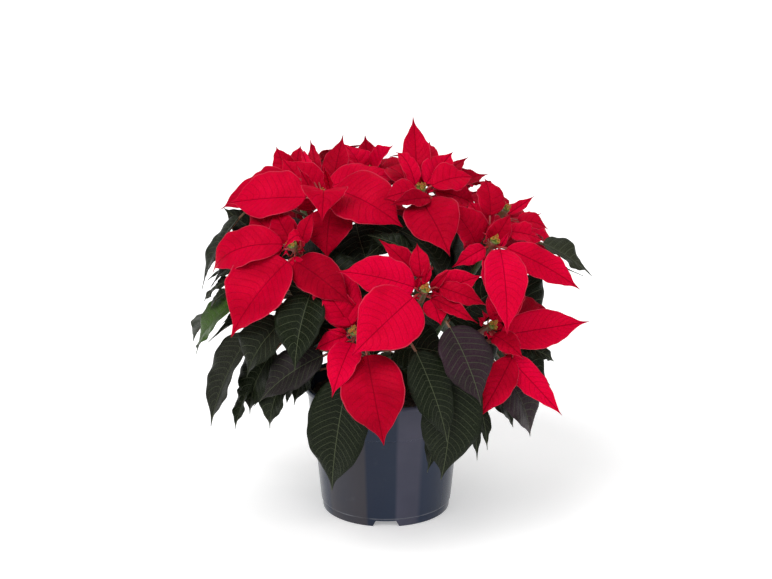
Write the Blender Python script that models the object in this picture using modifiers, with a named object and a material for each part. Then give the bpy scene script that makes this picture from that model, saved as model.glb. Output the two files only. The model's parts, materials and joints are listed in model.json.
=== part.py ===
"""A poinsettia in a round plastic nursery pot, as it is grown and sold.

Three pinched main stems rise out of the root ball. Each forks into leafy stems, and each leafy stem ends in a
bloom: red bracts round a cluster of small flower cups (cyathia). Blender works in metres here, +Z up. The
plant's best side faces -Y, and the origin is on the pot's axis, in the plane that the pot stands on. Sizes
below are in millimetres, and MM turns them into metres.
"""

import math
import random

import bmesh
import bpy
import numpy as np
from mathutils import Matrix, Vector
from mathutils.bvhtree import BVHTree

MM = 0.001
UP = Vector((0.0, 0.0, 1.0))

# Pot: a notched foot ring, a flared wall, a collar and a lip
POT_HEIGHT = 133.0
FOOT_RADIUS = 65.0
FOOT_HEIGHT = 8.5
WALL_RADIUS = 65.9
WALL_FLARE = 0.098
COLLAR_FOOT = 95.0
COLLAR_STEP = 2.2
LIP_OVERHANG = 3.0
LIP_HEIGHT = 5.0
WALL = 1.6
FLOOR_TOP = 10.0
FLOOR = 2.4
POT_STEPS = 32
NOTCHES = 3
NOTCH_HEIGHT = 6.2
NOTCH_TOP_WIDTH = 20.6
NOTCH_FOOT_WIDTH = 26.5
DRAIN_HOLES = 6
DRAIN_RADIUS = 5.0
DRAIN_CIRCLE = 42.0

# Root ball: peat with a lumpy top, and a plain hole for each main stem
SOIL_TOP = 119.0
SOIL_LUMP = 1.8
SOIL_STEPS = 24
CLEAR = 0.3

# Main stems: stubby and pinched out
MAIN_STEMS = (Vector((0.0, -24.0, 0.0)), Vector((-21.0, 13.0, 0.0)), Vector((21.0, 13.0, 0.0)))
MAIN_RADIUS = 6.0
MAIN_FOOT = 70.0
MAIN_TOP = 170.0
FORK_HEIGHTS = (136.0, 144.0, 152.0, 160.0, 166.0)

# Leafy stems, the red stalk of each bloom, and its flower cups
STEM_RADIUS = 3.2
STALK_LENGTH = 22.0
STALK_RADIUS = 3.3
STALK_TOP = 4.2
CUPS = 4
CUP_RING = 2.9
CUP_FOOT = 1.2
CUP_TOP = 1.8
CUP_HEIGHT = 4.2
CUP_SPACE = 7.4

# Sheets: bracts and leaves are one kind of thin folded blade on a stalk
SHEET_THICK = 0.7
ROOM = 2.2
PETIOLE_THICK = 2.2
PETIOLE_WIDTH = 3.0
TIP_WIDTH = 0.9
WAVES = 1.6
# Where a sheet has rows of corners: -1 is the petiole's root, 0 the base of the blade and 1 its tip
BROAD_ROWS = (-1.0, 0.0, 0.2, 0.5, 0.8, 1.0)
BRACT_ROWS = (-1.0, 0.0, 0.3, 0.7, 1.0)
LEAF_ROWS = (-1.0, -0.5, 0.0, 0.24, 0.62, 1.0)
SMALL_ROWS = (-1.0, 0.45, 1.0)
SHORT_PETIOLE = 45.0
SMALL_SHEET = 36.0
BROAD_SHEET = 38.0
OWN_FROM = -0.6

# The front of the plant is set out as it is seen from there, from a little above: how far right, how far up and
# how near to the eye, in millimetres, from the middle of the crown
CROWN = Vector((0.0, 0.0, 229.5))
EYE_DISTANCE = 2500.0
EYE_LIFT = math.radians(17.6)
RIGHT = Vector((1.0, 0.0, 0.0))
RISE = Vector((0.0, math.sin(EYE_LIFT), math.cos(EYE_LIFT)))
NEAR = Vector((0.0, -math.cos(EYE_LIFT), math.sin(EYE_LIFT)))

# Blooms of the front: main stem, heart, then bracts as base and tip (right, rise, near), width and arch
FRONT_BLOOMS = (
    ("bloom_01", 1, (-63, 94, 88), (
        ((-80, 92, 90), (-158, 86, 60), 46, 3),
        ((-62, 90, 108), (-64, 66, 138), 44, 22),
        ((-52, 100, 100), (17, 62, 122), 52, 8),
        ((-65, 102, 86), (-105, 132, 68), 46, 6),
        ((-48, 106, 70), (-16, 112, 60), 30, 5),
        ((-58, 102, 90), (-43, 156, 66), 28, 6),
        ((-54, 80, 88), (-59, 30, 106), 48, 8),
        ((-96, 110, 70), (-166, 80, 25), 32, 8),
        ((-58, 102, 84), (19, 112, 62), 28, 7),
        ((-68, 110, 82), (-77, 152, 50), 13, 4),
        ((-74, 112, 82), (-85, 141, 58), 11, 4),
        ((-71, 102, 96), (-89, 124, 102), 10, 3),
        ((-63, 104, 98), (-62, 122, 104), 8, 2),
    )),
    ("bloom_02", 1, (-93, 44, 122), (
        ((-98, 28, 126), (-155, -48, 120), 58, 7),
        ((-90, 28, 126), (-33, -16, 152), 40, 7),
        ((-103, 45, 116), (-173, 17, 80), 35, 9),
        ((-106, 44, 106), (-163, 30, 58), 30, 8),
        ((-108, 50, 104), (-137, 78, 72), 28, 5),
        ((-96, 48, 116), (-112, 80, 94), 26, 5),
        ((-92, 48, 122), (-73, 78, 126), 16, 4),
        ((-84, 43, 128), (-104, 38, 138), 11, 3),
        ((-104, 40, 114), (-142, 34, 108), 24, 4),
        ((-92, 30, 116), (-86, 4, 124), 20, 3),
        ((-93, 48, 122), (-93, 67, 132), 8, 2),
    )),
    ("bloom_03", 0, (35, 100, 98), (
        ((35, 88, 108), (64, 33, 142), 52, 8),
        ((34, 104, 94), (27, 173, 58), 28, 7),
        ((42, 107, 90), (83, 133, 60), 20, 5),
        ((40, 106, 92), (67, 138, 74), 28, 5),
        ((46, 104, 98), (88, 112, 88), 26, 5),
        ((32, 97, 108), (-2, 90, 116), 25, 4),
        ((44, 91, 112), (4, 84, 126), 16, 4),
        ((29, 104, 90), (10, 137, 70), 16, 4),
        ((54, 104, 76), (103, 116, 48), 20, 5),
        ((32, 108, 80), (44, 148, 30), 26, 6),
        ((50, 98, 80), (90, 84, 72), 30, 4),
        ((22, 106, 78), (0, 122, 60), 26, 4),
    )),
    ("bloom_04", 0, (39, 0, 155), (
        ((27, -8, 166), (-34, -66, 186), 62, 10),
        ((28, 2, 156), (-50, 18, 164), 39, 8),
        ((46, 6, 154), (96, 14, 148), 31, 6),
        ((30, 14, 144), (-7, 50, 134), 18, 5),
        ((35, 12, 146), (31, 46, 138), 19, 5),
        ((54, 2, 152), (101, -16, 158), 20, 5),
        ((44, -4, 160), (92, -34, 168), 14, 5),
        ((46, -10, 150), (55, -36, 158), 24, 4),
        ((43, 6, 154), (43, 32, 158), 9, 2),
        ((45, 2, 162), (64, 20, 168), 9, 4),
        ((45, 2, 164), (33, 13, 170), 7, 3),
    )),
    ("bloom_05", 2, (108, 48, 110), (
        ((114, 40, 118), (121, -46, 150), 40, 9),
        ((104, 48, 114), (60, 86, 126), 36, 6),
        ((104, 74, 94), (99, 110, 76), 28, 5),
        ((121, 58, 98), (158, 48, 80), 20, 4),
        ((121, 41, 110), (194, 0, 88), 29, 6),
        ((108, 50, 108), (125, 76, 104), 22, 4),
        ((104, 42, 114), (66, 22, 126), 18, 5),
        ((109, 40, 110), (102, -10, 122), 24, 5),
        ((126, 38, 98), (155, 10, 82), 16, 4),
        ((98, 58, 90), (82, 88, 82), 26, 5),
        ((106, 48, 118), (124, 58, 124), 6, 3),
        ((109, 54, 112), (112, 72, 120), 6, 2),
    )),
    ("bloom_06", 2, (119, 80, 50), (
        ((122, 82, 50), (149, 94, 38), 10, 4),
        ((132, 70, 52), (155, 76, 44), 11, 3),
        ((133, 68, 54), (162, 60, 50), 15, 4),
        ((124, 80, 52), (115, 93, 52), 8, 2),
    )),
    ("bloom_07", 0, (-32, -42, 153), (
        ((-19, -66, 158), (-2, -156, 162), 60, 12),
        ((-34, -37, 150), (-65, 5, 148), 30, 6),
        ((-34, -48, 156), (-54, -108, 174), 30, 7),
        ((-36, -46, 146), (-70, -60, 138), 18, 5),
        ((-34, -42, 160), (-58, -40, 166), 7, 3),
        ((-32, -40, 160), (-28, -28, 168), 6, 2),
    )),
    ("bloom_08", 2, (106, -36, 116), (
        ((114, -46, 110), (203, -32, 76), 38, 0),
        ((120, -66, 118), (176, -126, 112), 26, 2),
        ((126, -68, 120), (92, -130, 130), 30, 7),
        ((105, -42, 120), (138, -70, 130), 20, 5),
        ((104, -36, 118), (92, -28, 126), 8, 2),
        ((108, -36, 118), (114, -24, 124), 7, 2),
    )),
    ("bloom_09", 1, (-16, 116, 26), (
        ((-17, 122, 28), (-21, 155, 18), 30, 5),
        ((-8, 122, 28), (7, 142, 24), 24, 4),
        ((-24, 120, 28), (-44, 146, 22), 26, 5),
        ((-4, 118, 30), (24, 128, 30), 26, 5),
        ((-24, 116, 32), (-48, 118, 40), 26, 5),
    )),
    ("bloom_10", 1, (-98, 114, -30), (
        ((-101, 118, -28), (-110, 143, -40), 24, 4),
        ((-96, 118, -28), (-86, 145, -34), 18, 3),
        ((-104, 112, -22), (-126, 104, 0), 22, 5),
    )),
)

# Blooms of the back: main stem and heart, in plain x, y and z
BACK_BLOOMS = (
    ("bloom_11", 2, Vector((62.0, 84.0, 316.0))),
    ("bloom_12", 2, Vector((112.0, 78.0, 268.0))),
    ("bloom_13", 1, Vector((-20.0, 122.0, 296.0))),
    ("bloom_14", 1, Vector((-98.0, 122.0, 256.0))),
    ("bloom_15", 2, Vector((44.0, 150.0, 246.0))),
)
# How many bracts the rule adds: most where nothing is set out by hand
RULED_BRACTS = {"bloom_06": 5, "bloom_09": 5, "bloom_10": 6, "bloom_05": 1, "bloom_08": 2, "bloom_07": 1}
BACK_BRACTS = 8
BRACT_LENGTHS = (46.0, 88.0)
# The smallest bracts stand up round the flower cups
COLLAR_BRACTS = 3
FOLDED = 20
COLLAR_LENGTHS = (11.0, 21.0)

# Leaves of the front: base and tip of the blade, width and arch
FRONT_LEAVES = (
    ((-38, -88, 150), (-54, -201, 98), 58, 9),
    ((66, -72, 146), (55, -190, 94), 58, 11),
    ((30, -62, 164), (61, -152, 132), 42, 9),
    ((64, -38, 158), (95, -116, 150), 48, 8),
    ((114, -78, 104), (144, -147, 78), 46, 8),
    ((-63, -66, 140), (-126, -112, 116), 35, 8),
    ((-103, -32, 124), (-139, -88, 110), 40, 8),
    ((-76, -6, 136), (-91, -80, 148), 45, 8),
    ((-146, -10, 70), (-190, -65, 12), 32, 7),
    ((-136, -46, 88), (-175, -137, 60), 33, 6),
    ((-147, 72, 54), (-184, 0, 18), 24, 5),
    ((-150, -12, 0), (-193, -52, -84), 28, 7),
    ((-111, -60, 92), (-136, -125, 72), 34, 7),
    ((-98, -82, 100), (-116, -139, 84), 27, 6),
    ((-134, -92, 80), (-151, -140, 70), 14, 2),
    ((-86, -76, 100), (-99, -114, 96), 18, 4),
    ((-156, 10, 52), (-182, -12, 20), 10, 3),
    ((-158, -2, 56), (-175, -20, 32), 9, 3),
    ((54, -106, 112), (41, -183, 74), 22, 6),
    ((80, -100, 104), (91, -171, 80), 14, 4),
    ((88, -98, 100), (101, -160, 80), 13, 4),
    ((157, 46, 72), (206, 13, 60), 30, 3),
    ((168, 24, 44), (186, 4, 36), 9, 3),
    ((134, -56, 96), (168, -72, 74), 16, 4),
    ((24, 38, 120), (-18, 54, 112), 18, 4),
    ((20, -20, 84), (-40, 20, 96), 44, 6),
    ((60, 0, 84), (10, 60, 84), 40, 6),
    ((64, -30, 86), (128, 10, 82), 44, 6),
    ((10, -60, 96), (64, -66, 128), 44, 6),
    ((-60, -20, 70), (-104, 10, 92), 40, 6),
    ((-30, 66, 64), (-12, 10, 92), 50, 6),
    ((18, 62, 60), (66, 42, 74), 50, 6),
    ((84, 60, 44), (66, 6, 74), 50, 6),
    ((-64, 44, 56), (-52, -12, 84), 48, 6),
    ((-112, 26, 56), (-146, 56, 34), 40, 6),
    ((118, -2, 60), (150, -38, 56), 46, 6),
    ((-2, -18, 64), (-14, -72, 88), 48, 6),
    ((72, -46, 54), (104, -92, 60), 46, 6),
    ((-48, -36, 60), (-84, -72, 70), 44, 6),
)

# Leaves seen deep between the front ones, with the same columns
INNER_LEAVES = (
    ((112, -56, 60), (164, -96, 44), 34, 4),
    ((-118, 48, 40), (-163, 82, 30), 30, 3),
    ((96, -86, 84), (127, -138, 68), 30, 4),
    ((-136, 34, 44), (-176, 2, 34), 26, 4),
    ((-66, 22, 84), (-14, -2, 96), 40, 5),
    ((-64, 56, 70), (-112, 28, 80), 40, 5),
    ((-66, -60, 88), (-92, -116, 84), 26, 4),
    ((24, 66, 70), (-22, 30, 84), 36, 5),
)
# Rings of leaves made by rule: count, first bearing, last bearing, and radius and height of base and tip
LEAF_RINGS = (
    (7, 8.0, 172.0, 92.0, 176.0, 172.0, 104.0),
    (7, -14.0, 194.0, 66.0, 150.0, 138.0, 110.0),
    (8, 0.0, 180.0, 104.0, 206.0, 200.0, 168.0),
    (5, 16.0, 164.0, 112.0, 238.0, 198.0, 224.0),
    (9, -176.0, 140.0, 56.0, 214.0, 122.0, 236.0),
)
LEAF_WIDTHS = (34.0, 52.0)

# The plant's outline from the front, right and rise: sheets that the rule makes stay within it
OUTLINE = (
    (27, 172), (36, 150), (46, 147), (60, 136), (68, 132), (80, 120), (100, 118), (104, 108), (116, 96),
    (132, 90), (150, 92), (160, 66), (170, 52), (186, 44), (194, 24), (206, 13), (188, 6), (196, 0), (170, 10),
    (152, 4), (156, -18), (203, -31), (182, -42), (166, -62), (166, -90), (177, -126), (146, -104), (144, -148),
    (120, -132), (103, -160), (92, -171), (72, -160), (55, -190), (-54, -201), (-80, -116), (-99, -114),
    (-116, -139), (-134, -118), (-152, -140), (-156, -96), (-175, -136), (-180, -74), (-172, -50), (-190, -65),
    (-190, -44), (-160, -10), (-184, 0), (-164, 40), (-150, 78), (-134, 60), (-134, 78), (-158, 84),
    (-140, 108), (-118, 124), (-111, 143), (-92, 139), (-78, 142), (-44, 144), (-20, 147), (-4, 142),
    (6, 136), (20, 140),
)
SEED = 11
GOLDEN = math.radians(137.508)


def seen(right, rise, near):
    """The point that is seen this far right of and above the middle of the crown, this near to the eye."""
    spread = 1.0 - near / EYE_DISTANCE
    return CROWN + RIGHT * (right * spread) + RISE * (rise * spread) + NEAR * near


def drawn(point):
    """Right and rise of a point, the other way round from seen()."""
    away = point - CROWN
    spread = 1.0 - away.dot(NEAR) / EYE_DISTANCE
    return away.dot(RIGHT) / spread, away.dot(RISE) / spread


def within_outline(point):
    right, rise = drawn(point)
    inside = False
    for first, second in zip(OUTLINE, OUTLINE[1:] + OUTLINE[:1]):
        if (first[1] > rise) != (second[1] > rise):
            share = (rise - first[1]) / (second[1] - first[1])
            if right < first[0] + share * (second[0] - first[0]):
                inside = not inside
    return inside


def bow(first, lead, last, share):
    """A point on the curve from first to last that is pulled towards lead."""
    rest = 1.0 - share
    return first * (rest * rest) + lead * (2.0 * rest * share) + last * (share * share)


def across(vector, axis):
    """The part of a vector square to an axis, as a unit vector."""
    part = vector - axis * vector.dot(axis)
    if part.length < 1e-6:
        part = axis.orthogonal()
    return part.normalized()


# Sheets


def sheet_shape(sheet, move):
    """The sheet's frame after a move: lift of its tip, roll, change of arch, and share of its length."""
    lift, roll, swell, share, root = move
    base = sheet["base"] + sheet["lift"] * (lift * 0.35)
    tip = base + (sheet["tip"] + sheet["lift"] * lift - base) * share
    line = (tip - base).normalized()
    face = across(sheet["hint"], line)
    face = Matrix.Rotation(math.radians(sheet["roll"] + roll), 3, line) @ face
    side = line.cross(face).normalized()
    arch = sheet["arch"] + swell
    lead = (base + tip) * 0.5 + face * (2.0 * arch)
    width = sheet["width"] * share
    if sheet["measured"]:
        slope = Vector((line.dot(RIGHT), line.dot(RISE), 0.0))
        flat = Vector((side.dot(RIGHT), side.dot(RISE), 0.0))
        shown = slope.normalized().cross(flat).length if slope.length > 1e-6 else 1.0
        width = width / max(0.62, shown * math.cos(sheet["fold"]))
    start = (lead - base).normalized()
    foot = sheet["roots"][min(root, len(sheet["roots"]) - 1)]
    gap = (base - foot).length
    return {
        "sheet": sheet,
        "base": base,
        "lead": lead,
        "tip": tip,
        "side": side,
        "half": width * 0.5,
        "foot": foot,
        "bend": base - start * (gap * 0.45),
        "long": max((tip - base).length, 0.5 * ((lead - base).length + (tip - lead).length)),
    }


def sheet_width(kind, along):
    """Half the width there, as a share of the widest: bracts are widest at 0.4, leaves nearer their base.

    Past the middle the sides draw in, so that the blade ends in a long thin point.
    """
    rise, fall = (0.60, 1.0) if kind == "bract" else (0.54, 0.98)
    top = rise / (rise + fall)
    most = top**rise * (1.0 - top) ** fall
    late = min(1.0, max(0.0, (along - 0.55) / 0.4))
    point = 1.0 - 0.4 * late * late * (3.0 - 2.0 * late)
    return along**rise * (1.0 - along) ** fall / most * point


def sheet_point(shape, along, across_it, lift=0.0):
    """A point of the sheet: along is 0 to 1 on the blade and -1 to 0 on the petiole, across_it is -1 to 1."""
    sheet = shape["sheet"]
    if along < 0.0:
        first, lead, last = shape["foot"], shape["bend"], shape["base"]
        share = along + 1.0
    else:
        first, lead, last = shape["base"], shape["lead"], shape["tip"]
        share = along
    point = bow(first, lead, last, share)
    tangent = ((lead - first) * (1.0 - share) + (last - lead) * share).normalized()
    twist = Matrix.Rotation(sheet["twist"] * max(0.0, along), 3, tangent)
    side = twist @ across(shape["side"], tangent)
    normal = side.cross(tangent)
    half = 0.5 * PETIOLE_WIDTH
    wave = 0.0
    if along > 0.0:
        half = 0.5 * (PETIOLE_WIDTH * (1.0 - along) + TIP_WIDTH * along)
        half = max(half, shape["half"] * sheet_width(sheet["kind"], along))
        turn = 2.0 * math.pi * (WAVES * along + sheet["phase"] + (0.27 if across_it > 0.0 else 0.0))
        wave = sheet["wave"] * across_it * across_it * math.sin(turn) * math.sin(math.pi * along)
    offset = half * across_it
    fold = sheet["fold"]
    return point + side * (offset * math.cos(fold)) + normal * (abs(offset) * math.sin(fold) + wave + lift)


def sheet_thickness(along):
    return PETIOLE_THICK if along <= 0.0 else SHEET_THICK


def sheet_rows(shape):
    if shape["long"] < SMALL_SHEET:
        return SMALL_ROWS
    if shape["sheet"]["kind"] == "leaf":
        near = (shape["base"] - shape["foot"]).length < SHORT_PETIOLE
        return BRACT_ROWS if near else LEAF_ROWS
    return BROAD_ROWS if shape["sheet"]["measured"] and shape["sheet"]["width"] > BROAD_SHEET else BRACT_ROWS


def sheet_sides(shape, room, least=-1.0):
    """Both faces and the rim of the sheet this much thicker, for the test of whether it clears the others."""
    rows = [along for along in sheet_rows(shape) if along >= least]
    points = []
    for sign in (0.5, -0.5):
        for along in rows:
            for column in (-1.0, 0.0, 1.0):
                points.append(sheet_point(shape, along, column, sign * (sheet_thickness(along) + room)))
    count = len(rows) * 3
    faces = []
    for row in range(len(rows) - 1):
        for column in range(2):
            corner = row * 3 + column
            faces.append((corner, corner + 1, corner + 4, corner + 3))
            corner += count
            faces.append((corner, corner + 3, corner + 4, corner + 1))
        for column in (0, 2):
            corner = row * 3 + column
            faces.append((corner, corner + 3, corner + 3 + count, corner + count))
    end = count - 3
    for column in range(2):
        faces.append((column, column + count, column + 1 + count, column + 1))
        corner = end + column
        faces.append((corner, corner + 1, corner + 1 + count, corner + count))
    return points, faces


def tube_sides(line, radii, room):
    """A square tube round a line, for the same test."""
    points = []
    faces = []
    for index, point in enumerate(line):
        ahead = line[min(index + 1, len(line) - 1)] - line[max(index - 1, 0)]
        ahead.normalize()
        first = across(UP if abs(ahead.z) < 0.9 else RIGHT, ahead)
        second = ahead.cross(first)
        radius = radii[index] + 0.5 * room
        for turn in range(4):
            angle = math.pi * 0.5 * turn
            points.append(point + first * (radius * math.cos(angle)) + second * (radius * math.sin(angle)))
        if index:
            low = index * 4 - 4
            for turn in range(4):
                after = (turn + 1) % 4
                faces.append((low + turn, low + after, low + 4 + after, low + 4 + turn))
    end = len(points) - 4
    faces.append((3, 2, 1, 0))
    faces.append((end, end + 1, end + 2, end + 3))
    return points, faces


class Placed:
    """What already stands, to be kept clear of."""

    def __init__(self):
        self.nodes = []
        self.trees = []
        self.outer = []
        self.boxes = np.zeros((0, 6))

    def add(self, node, whole, outer):
        points = np.array([tuple(point) for point in whole[0]])
        box = np.concatenate([points.min(axis=0), points.max(axis=0)])
        self.nodes.append(node)
        self.trees.append(BVHTree.FromPolygons(whole[0], whole[1]))
        self.outer.append(BVHTree.FromPolygons(outer[0], outer[1]) if outer else None)
        self.boxes = np.vstack([self.boxes, box])

    def close_to(self, points):
        low = points.min(axis=0)
        high = points.max(axis=0)
        apart = (self.boxes[:, :3] > high).any(axis=1) | (self.boxes[:, 3:] < low).any(axis=1)
        return np.nonzero(~apart)[0]


def settle(node, sheet, moves, placed):
    """The first move of the sheet that keeps it clear of other nodes, and, if there is one, of its own."""
    fallback = None
    tries = 0
    for move in moves:
        shape = sheet_shape(sheet, move)
        if not sheet["measured"]:
            ends = [sheet_point(shape, along, side) for along in (0.3, 0.65, 1.0) for side in (-1.0, 1.0)]
            if not all(within_outline(point) for point in ends):
                continue
        whole = sheet_sides(shape, ROOM)
        tree = BVHTree.FromPolygons(whole[0], whole[1])
        near = placed.close_to(np.array([tuple(point) for point in whole[0]]))
        if any(placed.nodes[i] != node and tree.overlap(placed.trees[i]) for i in near):
            continue
        outer = sheet_sides(shape, 0.0, OWN_FROM)
        tree = BVHTree.FromPolygons(outer[0], outer[1])
        own = [i for i in near if placed.nodes[i] == node and placed.outer[i]]
        if not any(tree.overlap(placed.outer[i]) for i in own):
            return shape
        fallback = fallback or shape
        tries += 1
        if tries > 90:
            break
    return fallback


def moves_of(lifts, rolls, swells, shares, roots):
    """Every mix of these, those that change least first."""
    found = []
    for lift in lifts:
        for roll in rolls:
            for swell in swells:
                for share in shares:
                    for root in roots:
                        cost = abs(lift) / 9.0 + abs(roll) / 20.0 + abs(swell) / 8.0
                        cost += (1.0 - share) * 26.0 + root * 0.6
                        found.append((cost, (lift, roll, swell, share, root)))
    found.sort(key=lambda item: item[0])
    return [move for _, move in found]


# Plan of the plant


def bloom_axis(heart):
    """A bloom looks outwards and up from the crown."""
    outward = heart - Vector((0.0, 0.0, 165.0))
    return (outward.normalized() + UP * 0.25).normalized()


def stem_line(plant, heart, order):
    """A leafy stem: out from its main stem, and up to the foot of its bloom."""
    axis = bloom_axis(heart)
    end = heart - axis * (STALK_LENGTH + CLEAR)
    main = MAIN_STEMS[plant] + UP * FORK_HEIGHTS[order % len(FORK_HEIGHTS)]
    outward = Vector((end.x - main.x, end.y - main.y, 0.0)).normalized()
    lead = main + outward * 22.0 + UP * 26.0
    before = end - axis * 34.0
    points = [main, main + outward * 9.0 + UP * 3.0]
    for share in (0.35, 0.7):
        points.append(bow(main + outward * 9.0, lead.lerp(before, 0.5), end, share))
    points.append(end - axis * 6.0)
    points.append(end)
    return points


def new_sheet(label, kind, base, tip, width, arch, hint, roots, lift, measured, rng):
    long = (tip - base).length
    small = long < SMALL_SHEET
    return {
        "label": label,
        "kind": kind,
        "base": base,
        "tip": tip,
        "width": width,
        "arch": arch,
        "hint": hint,
        "roll": rng.uniform(-8.0, 8.0),
        "fold": math.radians(rng.uniform(8.0, 20.0)),
        "twist": math.radians(rng.uniform(-14.0, 14.0)),
        "wave": rng.uniform(0.6, 1.2) if small else rng.uniform(1.6, 3.2),
        "phase": rng.random(),
        "roots": roots,
        "lift": lift,
        "measured": measured,
    }


def bract_root(heart, axis, base, tip, layer):
    """Where a bract leaves the bloom's stalk, and its base, kept off the flower cups."""
    foot = heart - axis * (4.0 + 1.25 * layer)
    outward = across(tip - heart, axis)
    away = base - heart
    clear = (away - axis * away.dot(axis)).length
    if clear < CUP_SPACE + 1.5:
        base = foot + outward * (8.0 + 0.3 * layer) + axis * 1.0
    return foot, base


def nearest_roots(base, stems, count):
    """The places on stems that lie best for a leaf with this base: near it, and lower."""
    found = []
    for plant, line in stems:
        for first, second in zip(line[1:-2], line[2:-1]):
            for share in (0.25, 0.75):
                point = first.lerp(second, share)
                drop = max(0.0, point.z - base.z + 8.0)
                found.append(((point - base).length + 2.0 * drop, plant, point))
    found.sort(key=lambda item: item[0])
    return found[:count]


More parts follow.
